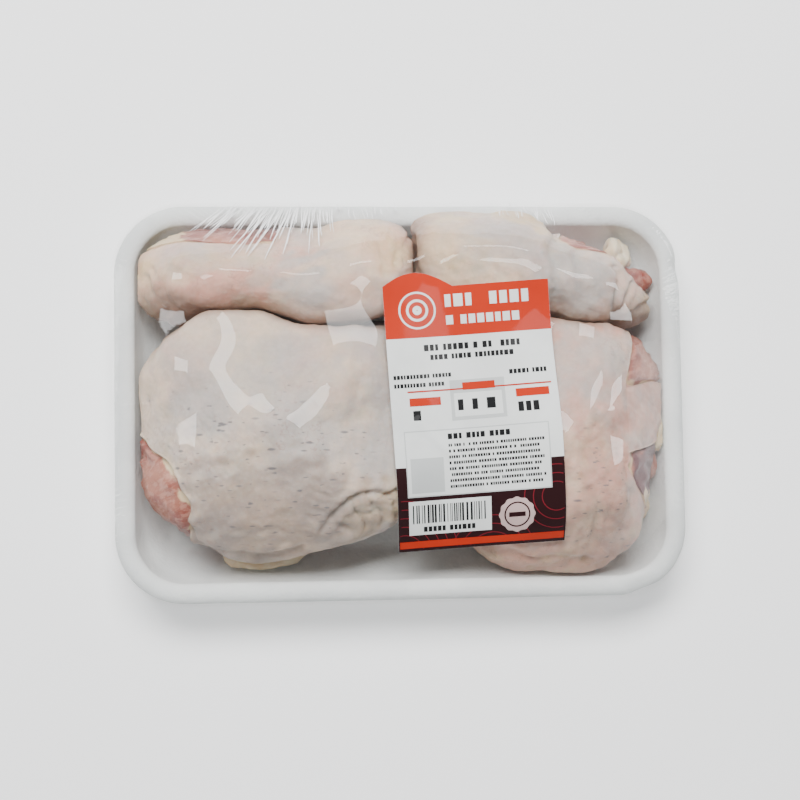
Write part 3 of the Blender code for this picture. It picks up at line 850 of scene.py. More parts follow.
class Tone(Enum):
    """What a patch adds to a thigh's colours."""

    YELLOW = "yellow"
    PINK = "pink"
    GREY = "grey"
    SPECKS = "specks"
    FAT = "fat"
    DARK = "dark"
    # painted shade
    SHADE = "shade"


@dataclass(frozen=True)
class Lobe:
    """A bulge or hollow round a direction in degrees: its share of the reach and its spread in degrees."""

    azimuth: float
    elevation: float
    gain: float
    spread: float


@dataclass(frozen=True)
class Bare:
    """A stretch without skin: its middle azimuth, half its width and its skin line, all in degrees."""

    azimuth: float
    half_width: float
    skin_line: float


@dataclass(frozen=True)
class Patch:
    """A soft patch of a tone: its middle in plan, half sizes and turn, in millimetres and degrees."""

    tone: Tone
    x: float
    y: float
    half_x: float
    half_y: float
    turn: float = 0.0
    strength: float = 1.0

    def at(self, points: Array, wander: Array) -> Array:
        """The patch's share at each point, with an edge that wanders."""
        arms = turned(points - np.array([self.x * MM, self.y * MM, 0]), -self.turn)
        away = np.hypot(arms[:, 0] / (self.half_x * MM), arms[:, 1] / (self.half_y * MM))
        return self.strength * smooth_step(1.35, 0.65, away + 0.22 * wander)


@dataclass(frozen=True)
class Fold:
    """A crease along a path in plan, in millimetres. A negative depth makes a ridge."""

    path: tuple[Pair, ...]
    depth: float
    width: float

    def at(self, points: Array) -> Array:
        """How far each point sinks in metres."""
        places = points[:, :2] / MM
        nearest = np.full(len(points), 1e9)
        for start, end in zip(self.path[:-1], self.path[1:]):
            a, along = np.array(start), np.array(end) - np.array(start)
            share = np.clip((places - a) @ along / (along @ along), 0, 1)
            gap = np.linalg.norm(places - a - share[:, None] * along, axis=1)
            nearest = np.minimum(nearest, gap)
        groove = np.exp(-((nearest / self.width) ** 2))
        shoulder = np.exp(-(((nearest - 2.1 * self.width) / self.width) ** 2))
        return self.depth * (groove - 0.3 * shoulder) * MM


@dataclass(frozen=True)
class Wrinkles:
    """A field of fine parallel wrinkles: middle, half sizes and direction, wavelength and depth."""

    x: float
    y: float
    half_x: float
    half_y: float
    turn: float
    wavelength: float
    depth: float

    def at(self, points: Array, wander: Array) -> Array:
        """How far each point sinks in metres."""
        arms = turned(points / MM - np.array([self.x, self.y, 0]), -self.turn)
        share = smooth_step(1.3, 0.5, np.hypot(arms[:, 0] / self.half_x, arms[:, 1] / self.half_y))
        wave = np.sin(arms[:, 0] * 2 * math.pi / self.wavelength + 2.4 * wander)
        return share * self.depth * MM * (0.5 + 0.5 * wave) ** 1.5


@dataclass(frozen=True)
class Thigh:
    """One thigh with its skin. Lengths are in millimetres and angles in degrees.

    The form is a rounded box of half_x by half_y, rise above its centre and drop below it, turned by yaw and
    shaped by lobes. Its meat shows where the skin stops early. The rest is how its surface is dressed.
    """

    name: str
    centre: Triple
    half_x: float
    half_y: float
    rise: float
    yaw: float
    squareness: float
    lobes: tuple[Lobe, ...]
    bare: tuple[Bare, ...]
    seed: int
    cells: int
    folds: tuple[Fold, ...] = ()
    wrinkles: tuple[Wrinkles, ...] = ()
    patches: tuple[Patch, ...] = ()
    pinkness: float = 0.1
    greyness: float = 0.1
    drop: float = 20.0
    skin_line: float = -24.0

    @property
    def middle(self) -> Array:
        """The centre in metres."""
        return np.array(self.centre) * MM

    def reach(self, rays: Array) -> Array:
        """How far the thigh reaches along unit rays before anything presses on it."""
        local = turned(rays, -self.yaw)
        height = np.where(local[:, 2] > 0, self.rise, self.drop)
        sizes = np.column_stack([np.full(len(rays), self.half_x), np.full(len(rays), self.half_y), height])
        radius = (np.abs(local / sizes) ** self.squareness).sum(axis=1) ** (-1 / self.squareness)
        for lobe in self.lobes:
            a, e = math.radians(lobe.azimuth), math.radians(lobe.elevation)
            middle = np.array([math.cos(a) * math.cos(e), math.sin(a) * math.cos(e), math.sin(e)])
            angle = np.degrees(np.arccos(np.clip(rays @ middle, -1, 1)))
            radius *= 1 + lobe.gain * np.exp(-((angle / lobe.spread) ** 2))
        swells = np.array([(5.1, 0, 3.3), (-4.1, 6.3, 2.0), (3.4, 5.2, 5.0)])
        return radius * MM * (1 + 0.018 * np.sin(rays @ swells.T + self.yaw).sum(axis=1))

    def edge(self, azimuths: Array) -> Array:
        """The elevation where the skin stops, with a ragged edge, for each azimuth, in degrees."""
        line = np.full(len(azimuths), self.skin_line)
        fade = 34.0
        for bare in self.bare:
            away = np.abs((azimuths - bare.azimuth + 180) % 360 - 180)
            share = smooth_step(0, 1, (bare.half_width + fade / 2 - away) / fade)
            line += (bare.skin_line - self.skin_line) * share
        turn = np.radians(azimuths)
        circle = np.column_stack([np.cos(turn), np.sin(turn), 0 * turn])
        ragged = 1.7 * WaveNoise(self.seed, 0.55).at(circle)
        return line + ragged + 0.7 * WaveNoise(self.seed + 1, 0.16).at(circle)

    def rays(self, azimuths: Array, elevations: Array) -> Array:
        """Unit rays for angles in degrees, the azimuths taken in the thigh's own stretched plan."""
        turn, e = np.radians(azimuths), np.radians(elevations)
        flat = np.column_stack([self.half_x * np.cos(turn), self.half_y * np.sin(turn), 0 * turn])
        height = np.where(e > 0, self.rise, self.drop) * np.sin(e)
        return unit(turned(flat * np.cos(e)[:, None], self.yaw) + np.column_stack([0 * e, 0 * e, height]))

    def heading(self, azimuths: Array) -> Array:
        """The world's azimuth of each azimuth in the thigh's own stretched plan, in degrees."""
        turn = np.radians(azimuths)
        return np.degrees(np.arctan2(self.half_y * np.sin(turn), self.half_x * np.cos(turn))) + self.yaw

    def relief(self, points: Array) -> Array:
        """How far folds, wrinkles and unevenness move each point of the surface out, in metres."""
        wander = WaveNoise(self.seed + 2, 17 * MM).at(points)
        moved = 0.32 * MM * (WaveNoise(self.seed + 3, 15 * MM).at(points) - 0.8)
        moved += 0.11 * MM * WaveNoise(self.seed + 4, 5.5 * MM).at(points)
        moved += 0.045 * MM * WaveNoise(self.seed + 5, 2.3 * MM).at(points)
        upper = smooth_step(8 * MM, 16 * MM, points[:, 2])
        for fold in self.folds:
            moved -= fold.at(points + 0.8 * MM * wander[:, None] * np.array([1.0, 0.6, 0])) * upper
        for field_of in self.wrinkles:
            moved -= field_of.at(points, wander) * upper
        return np.minimum(moved, 0.5 * MM)

    def tones(self, points: Array, tones: Iterable[Tone]) -> dict[str, Array]:
        """The shares of the named tones at each point."""
        wander = WaveNoise(self.seed + 6, 9 * MM).at(points)
        shares = {tone.value: np.zeros(len(points)) for tone in tones}
        for patch in self.patches:
            if patch.tone.value in shares:
                shares[patch.tone.value] = np.maximum(shares[patch.tone.value], patch.at(points, wander))
        return shares


@dataclass
class ReachMap:
    """A thigh's reach over rows of elevation from 90 to -90 degrees and columns of azimuth."""

    grid: Array

    def at(self, azimuths: Array, elevations: Array) -> Array:
        """The reach for angles in degrees, read as a smooth surface between the map's points."""
        rows, columns = self.grid.shape
        u, v = (90 - elevations) / 180 * (rows - 1), azimuths / 360 * columns
        i, j = np.rint(u).astype(int), np.rint(v).astype(int)
        total = np.zeros(len(u))
        for m, a in zip((-1, 0, 1), self.weights(u - i)):
            for n, b in zip((-1, 0, 1), self.weights(v - j)):
                total += a * b * self.grid[np.clip(i + m, 0, rows - 1), (j + n) % columns]
        return total

    @staticmethod
    def weights(away: Array) -> tuple[Array, Array, Array]:
        """Shares of the three nearest points of a smooth curve."""
        return 0.5 * (0.5 - away) ** 2, 0.75 - away**2, 0.5 * (0.5 + away) ** 2


@dataclass
class Batch:
    """The thighs in the tray: each fills its form as far as its neighbours, tray and film let it.

    Press is how steeply the film's limit rises inwards and where it starts, and rim_press is the same by the
    middle of the back rim, where the food swells over it by rim_swell.
    """

    tray: Tray
    thighs: tuple[Thigh, ...]
    skin_thick: float = 1.6 * MM
    skin_gap: float = 0.5 * MM
    gap: float = 0.6 * MM
    wall_gap: float = 0.7 * MM
    contact_share: float = 2.0
    press: Pair = (1.3, 5.5 * MM)
    rim_press: Pair = (2.0, 0.5 * MM)
    rim_swell: float = 6.3 * MM
    rim_swell_clear: float = 0.8 * MM
    rim_swell_fade: float = 3.0 * MM
    rim_swell_centre: float = 16.0 * MM
    rim_swell_half: float = 48.0 * MM
    press_rounding: float = 7.0
    map_columns: int = 240
    map_rows: int = 121
    blunt_rounds: int = 4
    blunt_share: float = 1.025
    coarseness: int = 8
    near: float = 1.22
    hem_scale: float = 70.0
    hem_bead: float = 0.25 * MM
    hem_tuck: float = 0.8 * MM
    under_rows: int = 11
    last_rows: int = 8
    bare_span: float = 66.0
    bare_steps: tuple[float, ...] = (
        0.4, 0.9, 1.6, 2.5, 3.6, 5.0, 6.8, 9.0, 12.0, 15.0, 19.0, 23.0, 27.0, 32.0, 37.0, 43.0
    )
    steps: int = 20
    columns: int = 208
    skin: SkinFinish = field(default_factory=SkinFinish)
    meat: MeatFinish = field(default_factory=MeatFinish)

    def fullness(self, thigh: Thigh, points: Array, depth: float = 0.0) -> Array:
        """0 at a thigh's centre and 1 at its free surface."""
        arms = points - thigh.middle
        length = np.linalg.norm(arms, axis=1)
        return length / (thigh.reach(arms / length[:, None]) + self.gap / 2 - depth)

    def rim_share(self, points: Array) -> Array:
        """How far the food may swell over the back rim at each place: 1 by its middle, 0 away from it."""
        away = np.abs(points[:, 0] - self.rim_swell_centre) / self.rim_swell_half
        return smooth_step(0, 0.4, 1 - away) * (points[:, 1] > 0)

    def is_free(self, thigh: Thigh, points: Array, depth: float) -> Array:
        """True for points this deep in the thigh or deeper, and clear of the tray and its neighbours."""
        tray = self.tray
        free = points[:, 2] >= tray.floor + self.wall_gap / 2 + depth
        share = self.rim_share(points)
        above = (points[:, 2] - tray.rim - self.rim_swell_clear) / self.rim_swell_fade
        limit = tray.inner_wall(points[:, 2]) + self.rim_swell * share * smooth_step(0, 1, above)
        free &= tray.inside(points, limit) <= -self.wall_gap - depth
        slope = self.press[0] + share * (self.rim_press[0] - self.press[0])
        start = self.press[1] + share * (self.rim_press[1] - self.press[1])
        room = tray.rim + slope * (-tray.inside(points) - start) - tray.floor
        room -= depth * np.hypot(1, slope)
        pressed = np.maximum(points[:, 2] - tray.floor, 0) / np.maximum(room, MM)
        rounding = self.press_rounding
        free &= self.fullness(thigh, points, depth) ** rounding + pressed**rounding <= 1
        own = self.fullness(thigh, points, self.contact_share * depth)
        for other in self.thighs:
            if other is not thigh:
                free &= own <= self.fullness(other, points)
        return free

    def reaches(self, thigh: Thigh, depth: float) -> ReachMap:
        """How far the pressed thigh reaches all round, less a depth, with standing-out corners drawn in."""
        columns, rows = self.map_columns, self.map_rows
        azimuths, elevations = np.arange(columns) * 360 / columns, np.linspace(90, -90, rows)
        e, a = pairs(elevations, azimuths)
        rays = thigh.rays(a, e)
        whole = thigh.reach(rays) + self.gap / 2 - depth
        low, high = np.zeros(len(rays)), np.ones(len(rays))
        for _ in range(self.steps):
            middle = (low + high) / 2
            fits = self.is_free(thigh, thigh.middle + rays * (whole * middle)[:, None], depth)
            low, high = np.where(fits, middle, low), np.where(fits, high, middle)
        grid = (whole * low - self.gap / 2).reshape(rows, columns)
        for _ in range(self.blunt_rounds):
            for shift, share in ((7, self.blunt_share), (3, 1 + (self.blunt_share - 1) * 0.3)):
                beside = (np.roll(grid, shift, axis=1) + np.roll(grid, -shift, axis=1)) / 2
                grid = np.minimum(grid, beside * share)
        return ReachMap(grid)

    def disc(self, thigh: Thigh, cells: int) -> tuple[Array, Array, Array]:
        """A square grid bent into a disc from the thigh's top to its skin edge.

        Args:
            thigh: The thigh.
            cells: Cells along each side of the grid.

        Returns:
            Azimuths and elevations in degrees, and the share of the way to the edge.
        """
        line = np.linspace(-1, 1, cells + 1)
        u, v = pairs(line, line)
        p, q = u * np.sqrt(1 - v * v / 2), v * np.sqrt(1 - u * u / 2)
        out = np.minimum(np.hypot(p, q), 1)
        azimuths = np.degrees(np.arctan2(q, p))
        edge = thigh.edge(thigh.heading(azimuths))
        return azimuths, 90 + (edge - 90) * out, out

    def touching(self, thigh: Thigh, points: Array) -> Array:
        """How near each point is to another thigh: 1 where they touch, 0 well away."""
        near = np.zeros(len(points))
        for other in self.thighs:
            if other is not thigh:
                near = np.maximum(near, smooth_step(self.near, 1.0, self.fullness(other, points)))
        return near

    def build_skin(self, thigh: Thigh, outside: ReachMap, below: ReachMap) -> Object:
        """The skin as a closed layer with a rounded, slightly rolled edge.

        Args:
            thigh: The thigh.
            outside: How far its surface reaches.
            below: How far the meat under the skin reaches.

        Returns:
            The skin.
        """
        cells, coarse = thigh.cells, thigh.cells // self.coarseness
        azimuths, elevations, out = self.disc(thigh, cells)
        rays = thigh.rays(azimuths, elevations)
        bare = thigh.middle + rays * outside.at(azimuths, elevations)[:, None]
        moved = thigh.relief(bare)
        near_edge = (1 - out) * self.hem_scale
        moved += self.hem_bead * np.exp(-(((near_edge - 2.2) / 1.1) ** 2))
        moved -= self.hem_tuck * np.exp(-((near_edge / 0.8) ** 2))
        outer = bare + rays * moved[:, None]
        azimuths, elevations, _ = self.disc(thigh, coarse)
        low_rays = thigh.rays(azimuths, elevations)
        share = self.skin_thick / (self.skin_thick + self.skin_gap)
        upper, deeper = outside.at(azimuths, elevations), below.at(azimuths, elevations)
        lower = thigh.middle + low_rays * (upper + (deeper - upper) * share)[:, None]
        lower += low_rays * thigh.relief(thigh.middle + low_rays * upper[:, None])[:, None]
        points = np.vstack([outer, lower])
        start = len(outer)
        faces = list(sheet_faces(cells, cells))
        faces += list(sheet_faces(coarse, coarse, start, Side.DOWN))
        fine, rough = border_of(cells, cells), start + border_of(coarse, coarse)
        for k in range(len(fine)):
            halfway = k + self.coarseness // 2
            near, after = (place // self.coarseness % len(rough) for place in (halfway, halfway + 1))
            following = fine[(k + 1) % len(fine)]
            faces.append((following, fine[k], rough[near]))
            if near != after:
                faces.append((following, rough[near], rough[after]))
        tones = thigh.tones(outer, (Tone.YELLOW, Tone.PINK, Tone.GREY, Tone.SPECKS, Tone.SHADE))
        tones["pink"] = np.clip(tones["pink"] + thigh.pinkness, 0, 1)
        tones["grey"] = np.clip(tones["grey"] + thigh.greyness, 0, 1)
        rim = np.exp(-((near_edge / 2.6) ** 2)) * (0.5 + 0.3 * WaveNoise(thigh.seed + 7, 12 * MM).at(outer))
        tones["yellow"] = np.clip(tones["yellow"] + rim, 0, 1)
        # Painted shade: darker brown where thighs touch, towards the bottom and along the skin's very edge;
        # where thighs touch the skin is also made pinker.
        touching = self.touching(thigh, outer)
        low = smooth_step(15 * MM, 6 * MM, outer[:, 2])
        painted_shade_share = 0.75 * touching**2 + 0.4 * low + 0.35 * np.exp(-((near_edge / 0.9) ** 2))
        tones["shade"] = np.clip(tones["shade"] + painted_shade_share, 0, 0.8)
        tones["pink"] = np.clip(tones["pink"] + 0.35 * touching, 0, 1)
        values = {}
        for label, shares in tones.items():
            values[label] = np.concatenate([shares, np.full(len(lower), 0.3)])
        skin = build_object(thigh.name + "_skin_layer", points, faces, [self.skin.material()], values)
        return hand_over(skin, "raw_skin", thigh.name + "_skin")

    def build_meat(self, thigh: Thigh, outside: ReachMap, below: ReachMap) -> Object:
        """The meat as a closed body: sunk under the skin, lumpy and wet where it is bare.

        Args:
            thigh: The thigh.
            outside: How far its surface reaches.
            below: How far the meat under the skin reaches.

        Returns:
            The meat.
        """
        under = np.linspace(0, 1, self.under_rows + 1)[1:] ** 0.7
        last = np.linspace(0, 1, self.last_rows + 2)[1:-1]
        azimuths = np.arange(self.columns) * 360 / self.columns
        edge = thigh.edge(thigh.heading(azimuths))
        rows, beyond = [], []
        for share in under:
            rows.append(90 + (edge - 90) * share)
            beyond.append(-np.ones_like(edge))
        for angle in self.bare_steps:
            rows.append(edge + (-90 - edge) * angle / self.bare_span)
            beyond.append(np.full_like(edge, angle))
        for share in last:
            low = edge + (-90 - edge) * self.bare_steps[-1] / self.bare_span
            rows.append(low + (-90 - low) * share)
            beyond.append(np.full_like(edge, 60.0))
        elevations, past = np.concatenate(rows), np.concatenate(beyond)
        around = np.concatenate([[0], np.tile(azimuths, len(rows)), [0]])
        elevations = np.concatenate([[90], elevations, [-90]])
        past = np.concatenate([[-1], past, [60]])
        rays = thigh.rays(around, elevations)
        deep, shallow = below.at(around, elevations), outside.at(around, elevations) - 0.3 * MM
        share = smooth_step(0.2, 4.0, past)
        points = thigh.middle + rays * (deep + (shallow - deep) * share)[:, None]
        lumps = WaveNoise(thigh.seed + 8, 8 * MM).at(points)
        strands = WaveNoise(thigh.seed + 9, 3.0 * MM).at(points * np.array([1, 1, 2.6]))
        moved = thigh.relief(points) * (1 - share)
        moved += share * (0.55 * MM * (np.minimum(lumps, 0.6) - 0.7) + 0.16 * MM * strands)
        points = points + rays * moved[:, None]
        faces = ball_faces(len(rows), self.columns)
        values = thigh.tones(points, (Tone.FAT, Tone.DARK))
        rim = np.exp(-(((past - 1.2) / 1.6) ** 2)) * 0.6
        values["fat"] = np.clip(np.maximum(values["fat"], rim) + 0.1 * lumps, 0, 1)
        values["along"] = turned(points, -thigh.yaw - 20) * np.array([90.0, 520.0, 420.0])
        meat = build_object(thigh.name + "_meat_body", points, faces, [self.meat.material()], values)
        return hand_over(meat, "raw_meat", thigh.name + "_meat")

    def build(self) -> list[Object]:
        """Builds skin and meat of every thigh."""
        pieces = []
        for thigh in self.thighs:
            maps = self.reaches(thigh, 0.0), self.reaches(thigh, self.skin_thick + self.skin_gap)
            pieces += [self.build_meat(thigh, *maps), self.build_skin(thigh, *maps)]
        return pieces


@dataclass(frozen=True)
class Lump:
    """A separate lump of fat or meat: its middle and half sizes in millimetres and its turn in degrees."""

    name: str
    slot: str
    middle: Triple
    half: Triple
    turn: float
    seed: int
    rows: int = 25
    columns: int = 44

    def build(self, tray: Tray, material: Material) -> Object:
        """Builds the lump as a closed, uneven ball.

        Args:
            tray: The tray, whose wall it lies against.
            material: What it is made of.

        Returns:
            The lump.
        """
        around = self.columns
        tall = np.linspace(0, math.pi, self.rows + 2)[1:-1]
        turn = np.arange(around) * 2 * math.pi / around
        ball = [[(0, 0, 1)]]
        for a in tall:
            row = [math.sin(a) * np.cos(turn), math.sin(a) * np.sin(turn), np.full(around, math.cos(a))]
            ball.append(np.column_stack(row))
        ball.append([(0, 0, -1)])
        rays = np.vstack(ball)
        swell = 1 + 0.16 * WaveNoise(self.seed, 1.7).at(rays)
        swell += 0.05 * WaveNoise(self.seed + 1, 0.6).at(rays)
        shape = rays * swell[:, None] * np.array(self.half) * MM
        points = tray.kept_in(turned(shape, self.turn) + np.array(self.middle) * MM, 0.4 * MM)
        faces = ball_faces(len(tall), around)
        values = {"fat": np.zeros(len(points)), "dark": np.full(len(points), 0.25), "along": points * 400.0}
        return hand_over(build_object(self.name, points, faces, [material], values), self.slot)


# Film and label


@dataclass
class Field:
    """Heights over a square grid in plan. Haste is how much of a lack each round makes up."""

    low_x: float
    low_y: float
    cell: float
    heights: Array
    haste: float = 1.6

    def at(self, x: Array, y: Array) -> Array:
        """The height between the grid's points."""
        u = np.clip((x - self.low_x) / self.cell, 0, self.heights.shape[0] - 1.001)
        v = np.clip((y - self.low_y) / self.cell, 0, self.heights.shape[1] - 1.001)
        i, j = u.astype(int), v.astype(int)
        s, t = u - i, v - j
        h = self.heights
        low = h[i, j] * (1 - t) + h[i, j + 1] * t
        return low * (1 - s) + (h[i + 1, j] * (1 - t) + h[i + 1, j + 1] * t) * s

    def smoothed(self, spread: float) -> Field:
        """The same heights blurred over a spread in metres."""
        reach = max(1, int(3 * spread / self.cell))
        weights = np.exp(-0.5 * (np.arange(-reach, reach + 1) * self.cell / spread) ** 2)
        weights /= weights.sum()
        values = self.heights
        for axis in (0, 1):
            sides = [(reach, reach) if axis == k else (0, 0) for k in (0, 1)]
            padded = np.pad(values, sides, mode="edge")
            places = np.arange(values.shape[axis])
            values = sum(w * np.take(padded, k + places, axis=axis) for k, w in enumerate(weights))
        return self.holding(values)

    def holding(self, heights: Array) -> Field:
        """Other heights over the same grid."""
        return replace(self, heights=heights)

    def over(self, floor: Field, clearance: float, spread: float, rounds: int = 5) -> Field:
        """These heights, raised softly until they clear a floor."""
        values, least = self.heights.copy(), floor.heights + clearance
        for _ in range(rounds):
            lack = self.holding(np.maximum(least - values, 0))
            values += self.haste * lack.smoothed(spread).heights
        return self.holding(np.maximum(values, least))


@dataclass(frozen=True)
class Gather:
    """A run of fine pleats in from the rim: place along it, lean in degrees and length, at both ends."""

    start: float
    end: float
    lean: Pair
    length: Pair
    count: int
    seed: int


@dataclass
class Film:
    """Stretch film, taut from the rim over the food and drawn round the lip to the tray's underside."""

    tray: Tray
    cell: float = 0.8 * MM
    bridging: float = 8.0 * MM
    easing: float = 4.5 * MM
    over_food: float = 0.35 * MM
    over_rim: float = 0.35 * MM
    side_gap: float = 1.1 * MM
    edge: float = -3.2 * MM
    held: float = 0.6 * MM
    drop: float = 3.2 * MM
    underlap: float = 42.0 * MM
    columns: int = 244
    rows: int = 170
    rounds: int = 2600
    rim_radius: float = 110.0
    pleat_steps: int = 12
    top_rows: int = 7
    side_rows: tuple[int, int] = (11, 20)
    side_ripple: float = 0.0025
    ripple_length: float = 6 * MM
    seed: int = 61
    gathers: tuple[Gather, ...] = (
        Gather(-66, -24, (-50, 3), (11, 10), 60, 71),
        Gather(-50, -30, (-36, -4), (19, 13), 16, 74),
        Gather(-24, 0, (2, 6), (5, 3), 11, 72),
        Gather(35, 56, (0, 4), (4, 6), 18, 73),
    )
    finish: FilmFinish = field(default_factory=FilmFinish)

    def obstacle(self, food: Iterable[Object]) -> Field:
        """The heights from above of the food and the tray's lip, as the film first meets them."""
        reach_x, reach_y = self.tray.half_x + 2 * MM, self.tray.half_y + 2 * MM
        xs = np.arange(-reach_x, reach_x + self.cell, self.cell)
        ys = np.arange(-reach_y, reach_y + self.cell, self.cell)
        x, y = pairs(xs, ys)
        half_width, half_height = self.tray.lip_half()
        across = (self.tray.inside(np.column_stack([x, y])) + half_width) / half_width
        lip = self.tray.rim - half_height * (1 - np.sqrt(np.maximum(1 - across**2, 0)))
        held = np.where(np.abs(across) < 1, lip, self.tray.rim - 2 * half_height).reshape(len(xs), len(ys))
        graph = bpy.context.evaluated_depsgraph_get()
        down = Vector((0, 0, -1))
        for piece in food:
            tree = BVHTree.FromObject(piece, graph)
            low, high = np.array(piece.bound_box).min(axis=0), np.array(piece.bound_box).max(axis=0)
            for i in np.flatnonzero((xs >= low[0]) & (xs <= high[0])):
                for j in np.flatnonzero((ys >= low[1]) & (ys <= high[1])):
                    hit = tree.ray_cast(Vector((xs[i], ys[j], 0.2)), down)[0]
                    if hit is not None and hit.z > held[i, j]:
                        held[i, j] = hit.z
        return Field(-reach_x, -reach_y, self.cell, held)

    def drape(self, food: Iterable[Object]) -> Field:
        """The taut film: a stretched membrane held at the rim and lifted by the food.

        Args:
            food: Everything that can touch the film from below.

        Returns:
            The film's heights.
        """
        touched = self.obstacle(food)
        eased = touched.smoothed(self.bridging).over(touched, 0.0, 0.6 * self.bridging)
        held = eased.heights + self.over_food
        xs = touched.low_x + self.cell * np.arange(held.shape[0])
        ys = touched.low_y + self.cell * np.arange(held.shape[1])
        x, y = pairs(xs, ys)
        within = (self.tray.inside(np.column_stack([x, y])) < self.held).reshape(held.shape)
        rim = self.tray.rim - self.drop
        heights = np.where(within, np.maximum(held, self.tray.rim), rim)
        for _ in range(self.rounds):
            mean = heights.copy()
            beside = heights[2:, 1:-1] + heights[:-2, 1:-1] + heights[1:-1, 2:] + heights[1:-1, :-2]
            mean[1:-1, 1:-1] = beside / 4
            heights = np.where(within, np.maximum(mean, held), rim)
        taut = touched.holding(heights)
        return taut.smoothed(self.easing).over(touched, 0.5 * self.over_food, self.easing, 4)

    def section(self) -> list[Pair]:
        """Offset and height of each row from the lip's top, down the side and under the tray."""
        tray = self.tray
        half_width, half_height = tray.lip_half()
        path = []
        for a in np.radians([72, 60, 50, 40, 30, 20, 10, 0, -14]):
            x = -half_width + (half_width + self.side_gap) * math.cos(a)
            path.append((x, tray.rim - half_height + (half_height + self.over_rim) * math.sin(a)))
        foot = (-tray.flare + 1.2 * MM, tray.base + 1.4 * MM)
        last = path[-1]
        for share in np.linspace(0, 1, 12)[1:]:
            path.append((last[0] + (foot[0] - last[0]) * share, last[1] + (foot[1] - last[1]) * share))
        path += [(-tray.flare + 0.2 * MM, 0.5 * MM), (-tray.flare - 1.2 * MM, 0.1 * MM)]
        for share in np.linspace(0, 1, 9)[1:]:
            path.append((-tray.flare - 1.2 * MM - (self.underlap - 1.2 * MM) * share, 0.1 * MM))
        return path

    def height(self, taut: Field, x: Array, y: Array) -> Array:
        """The film's height over the food or over the lip, whichever is higher."""
        half_width, half_height = self.tray.lip_half()
        across = (self.tray.inside(np.column_stack([x, y])) + half_width) / (half_width + self.side_gap)
        round_top = (half_height + self.over_rim) * np.sqrt(np.maximum(1 - across**2, 0))
        return np.maximum(taut.at(x, y), self.tray.rim - half_height + round_top)

    def build_pleats(self, taut: Field) -> Object:
        """Builds the fine pleats by the back rim as narrow ridges on the film, in a white that paints their
        highlights.

        Args:
            taut: The film's heights over the food.

        Returns:
            The pleats.
        """
        blocks, faces, steps = [], [], self.pleat_steps
        for gather in self.gathers:
            draw = np.random.default_rng(gather.seed)
            for k in range(gather.count):
                share = (k + draw.uniform(-0.45, 0.45)) / gather.count
                lean = np.interp(share, (0, 1), gather.lean) + draw.normal() * 5
                length = np.interp(share, (0, 1), gather.length) * draw.uniform(0.35, 1.5) * MM
                start_x = np.interp(share, (0, 1), (gather.start, gather.end)) * MM
                start_y = self.tray.half_y - draw.uniform(-1.5, 4.0) * MM
                heading = np.array([math.sin(math.radians(lean)), -math.cos(math.radians(lean))])
                t = np.linspace(0, 1, steps + 1)
                line = np.array([start_x, start_y]) + heading * (t * length)[:, None]
                line[:, 0] += 0.25 * MM * np.sin(t * 5 + k) * t
                swell = np.sin(np.pi * (0.04 + 0.92 * t)) ** 0.6
                side = np.array([-heading[1], heading[0]]) * draw.uniform(0.1, 0.24) * MM
                for across, up in ((-1, 0.03), (0, 0.12), (1, 0.03)):
                    place = line + side * across * swell[:, None]
                    z = self.height(taut, place[:, 0], place[:, 1]) + up * MM * swell + 0.04 * MM
                    blocks.append(np.column_stack([place, z]))
                first = 3 * (steps + 1) * (len(blocks) // 3 - 1)
                faces += list(sheet_faces(2, steps, first))
        finish = [PleatHighlightFinish().material()]
        pleats = build_object("film_pleats", np.vstack(blocks), faces, finish, sharp=180)
        return hand_over(pleats, "clear_film")

    def build(self, taut: Field) -> Object:
        """Builds the film as one sheet.

        Args:
            taut: The film's heights over the food.

        Returns:
            The film.
        """
        tray = self.tray
        line_u, line_v = np.linspace(-1, 1, self.columns + 1), np.linspace(-1, 1, self.rows + 1)
        u, v = pairs(line_u, line_v)
        x, y = tray.plan(u, v, self.edge)
        top = np.column_stack([x, y, taut.at(x, y)])
        border = border_of(self.columns, self.rows)
        rows, blocks = [border], [top]
        start = len(top)
        ripple = WaveNoise(self.seed, self.ripple_length)
        for k, (offset, height) in enumerate(self.section()):
            x, y = tray.plan(u[border], v[border], offset)
            ring = np.column_stack([x, y, np.full(len(x), height)])
            if k < self.top_rows:
                ring[:, 2] = np.maximum(height, taut.at(x, y))
            if self.side_rows[0] <= k <= self.side_rows[1]:
                wave = 0.5 + 0.5 * ripple.at(ring * np.array([1, 1, 0.15]))
                ring[:, :2] *= 1 - (self.side_ripple * wave)[:, None]
            if k > self.side_rows[1] + 1:
                ring[:, 2] += 0.1 * MM * np.abs(ripple.at(ring * 0.6))
            blocks.append(ring)
            rows.append(start + np.arange(len(border)))
            start += len(border)
        points = np.vstack(blocks)
        faces = [sheet_faces(self.columns, self.rows)]
        faces += [band_faces(upper, lower) for upper, lower in zip(rows[:-1], rows[1:])]
        depth = -tray.inside(points)
        angle = np.arctan2(points[:, 1] * tray.half_x / tray.half_y, points[:, 0])
        along = angle * self.rim_radius * MM
        values = {"rim": np.column_stack([along / (1.5 * MM), depth / (9 * MM), 0 * along])}
        streaks = np.exp(-np.maximum(depth - 4 * MM, 0) / (5 * MM))
        back_left = np.exp(-(((points[:, 0] + 45 * MM) / (32 * MM)) ** 2)) * (points[:, 1] > 20 * MM)
        values["pleats"] = streaks * (0.22 + 0.9 * back_left)
        finish = [self.finish.material()]
        film = build_object("film_sheet", points, np.vstack(faces), finish, values, sharp=75)
        return hand_over(film, "clear_film", "film")


@dataclass
class Mark:
    """A flat printed shape: points in the label's plan in millimetres, faces, ink and layer."""

    points: Array
    faces: Array
    ink: Ink
    layer: int


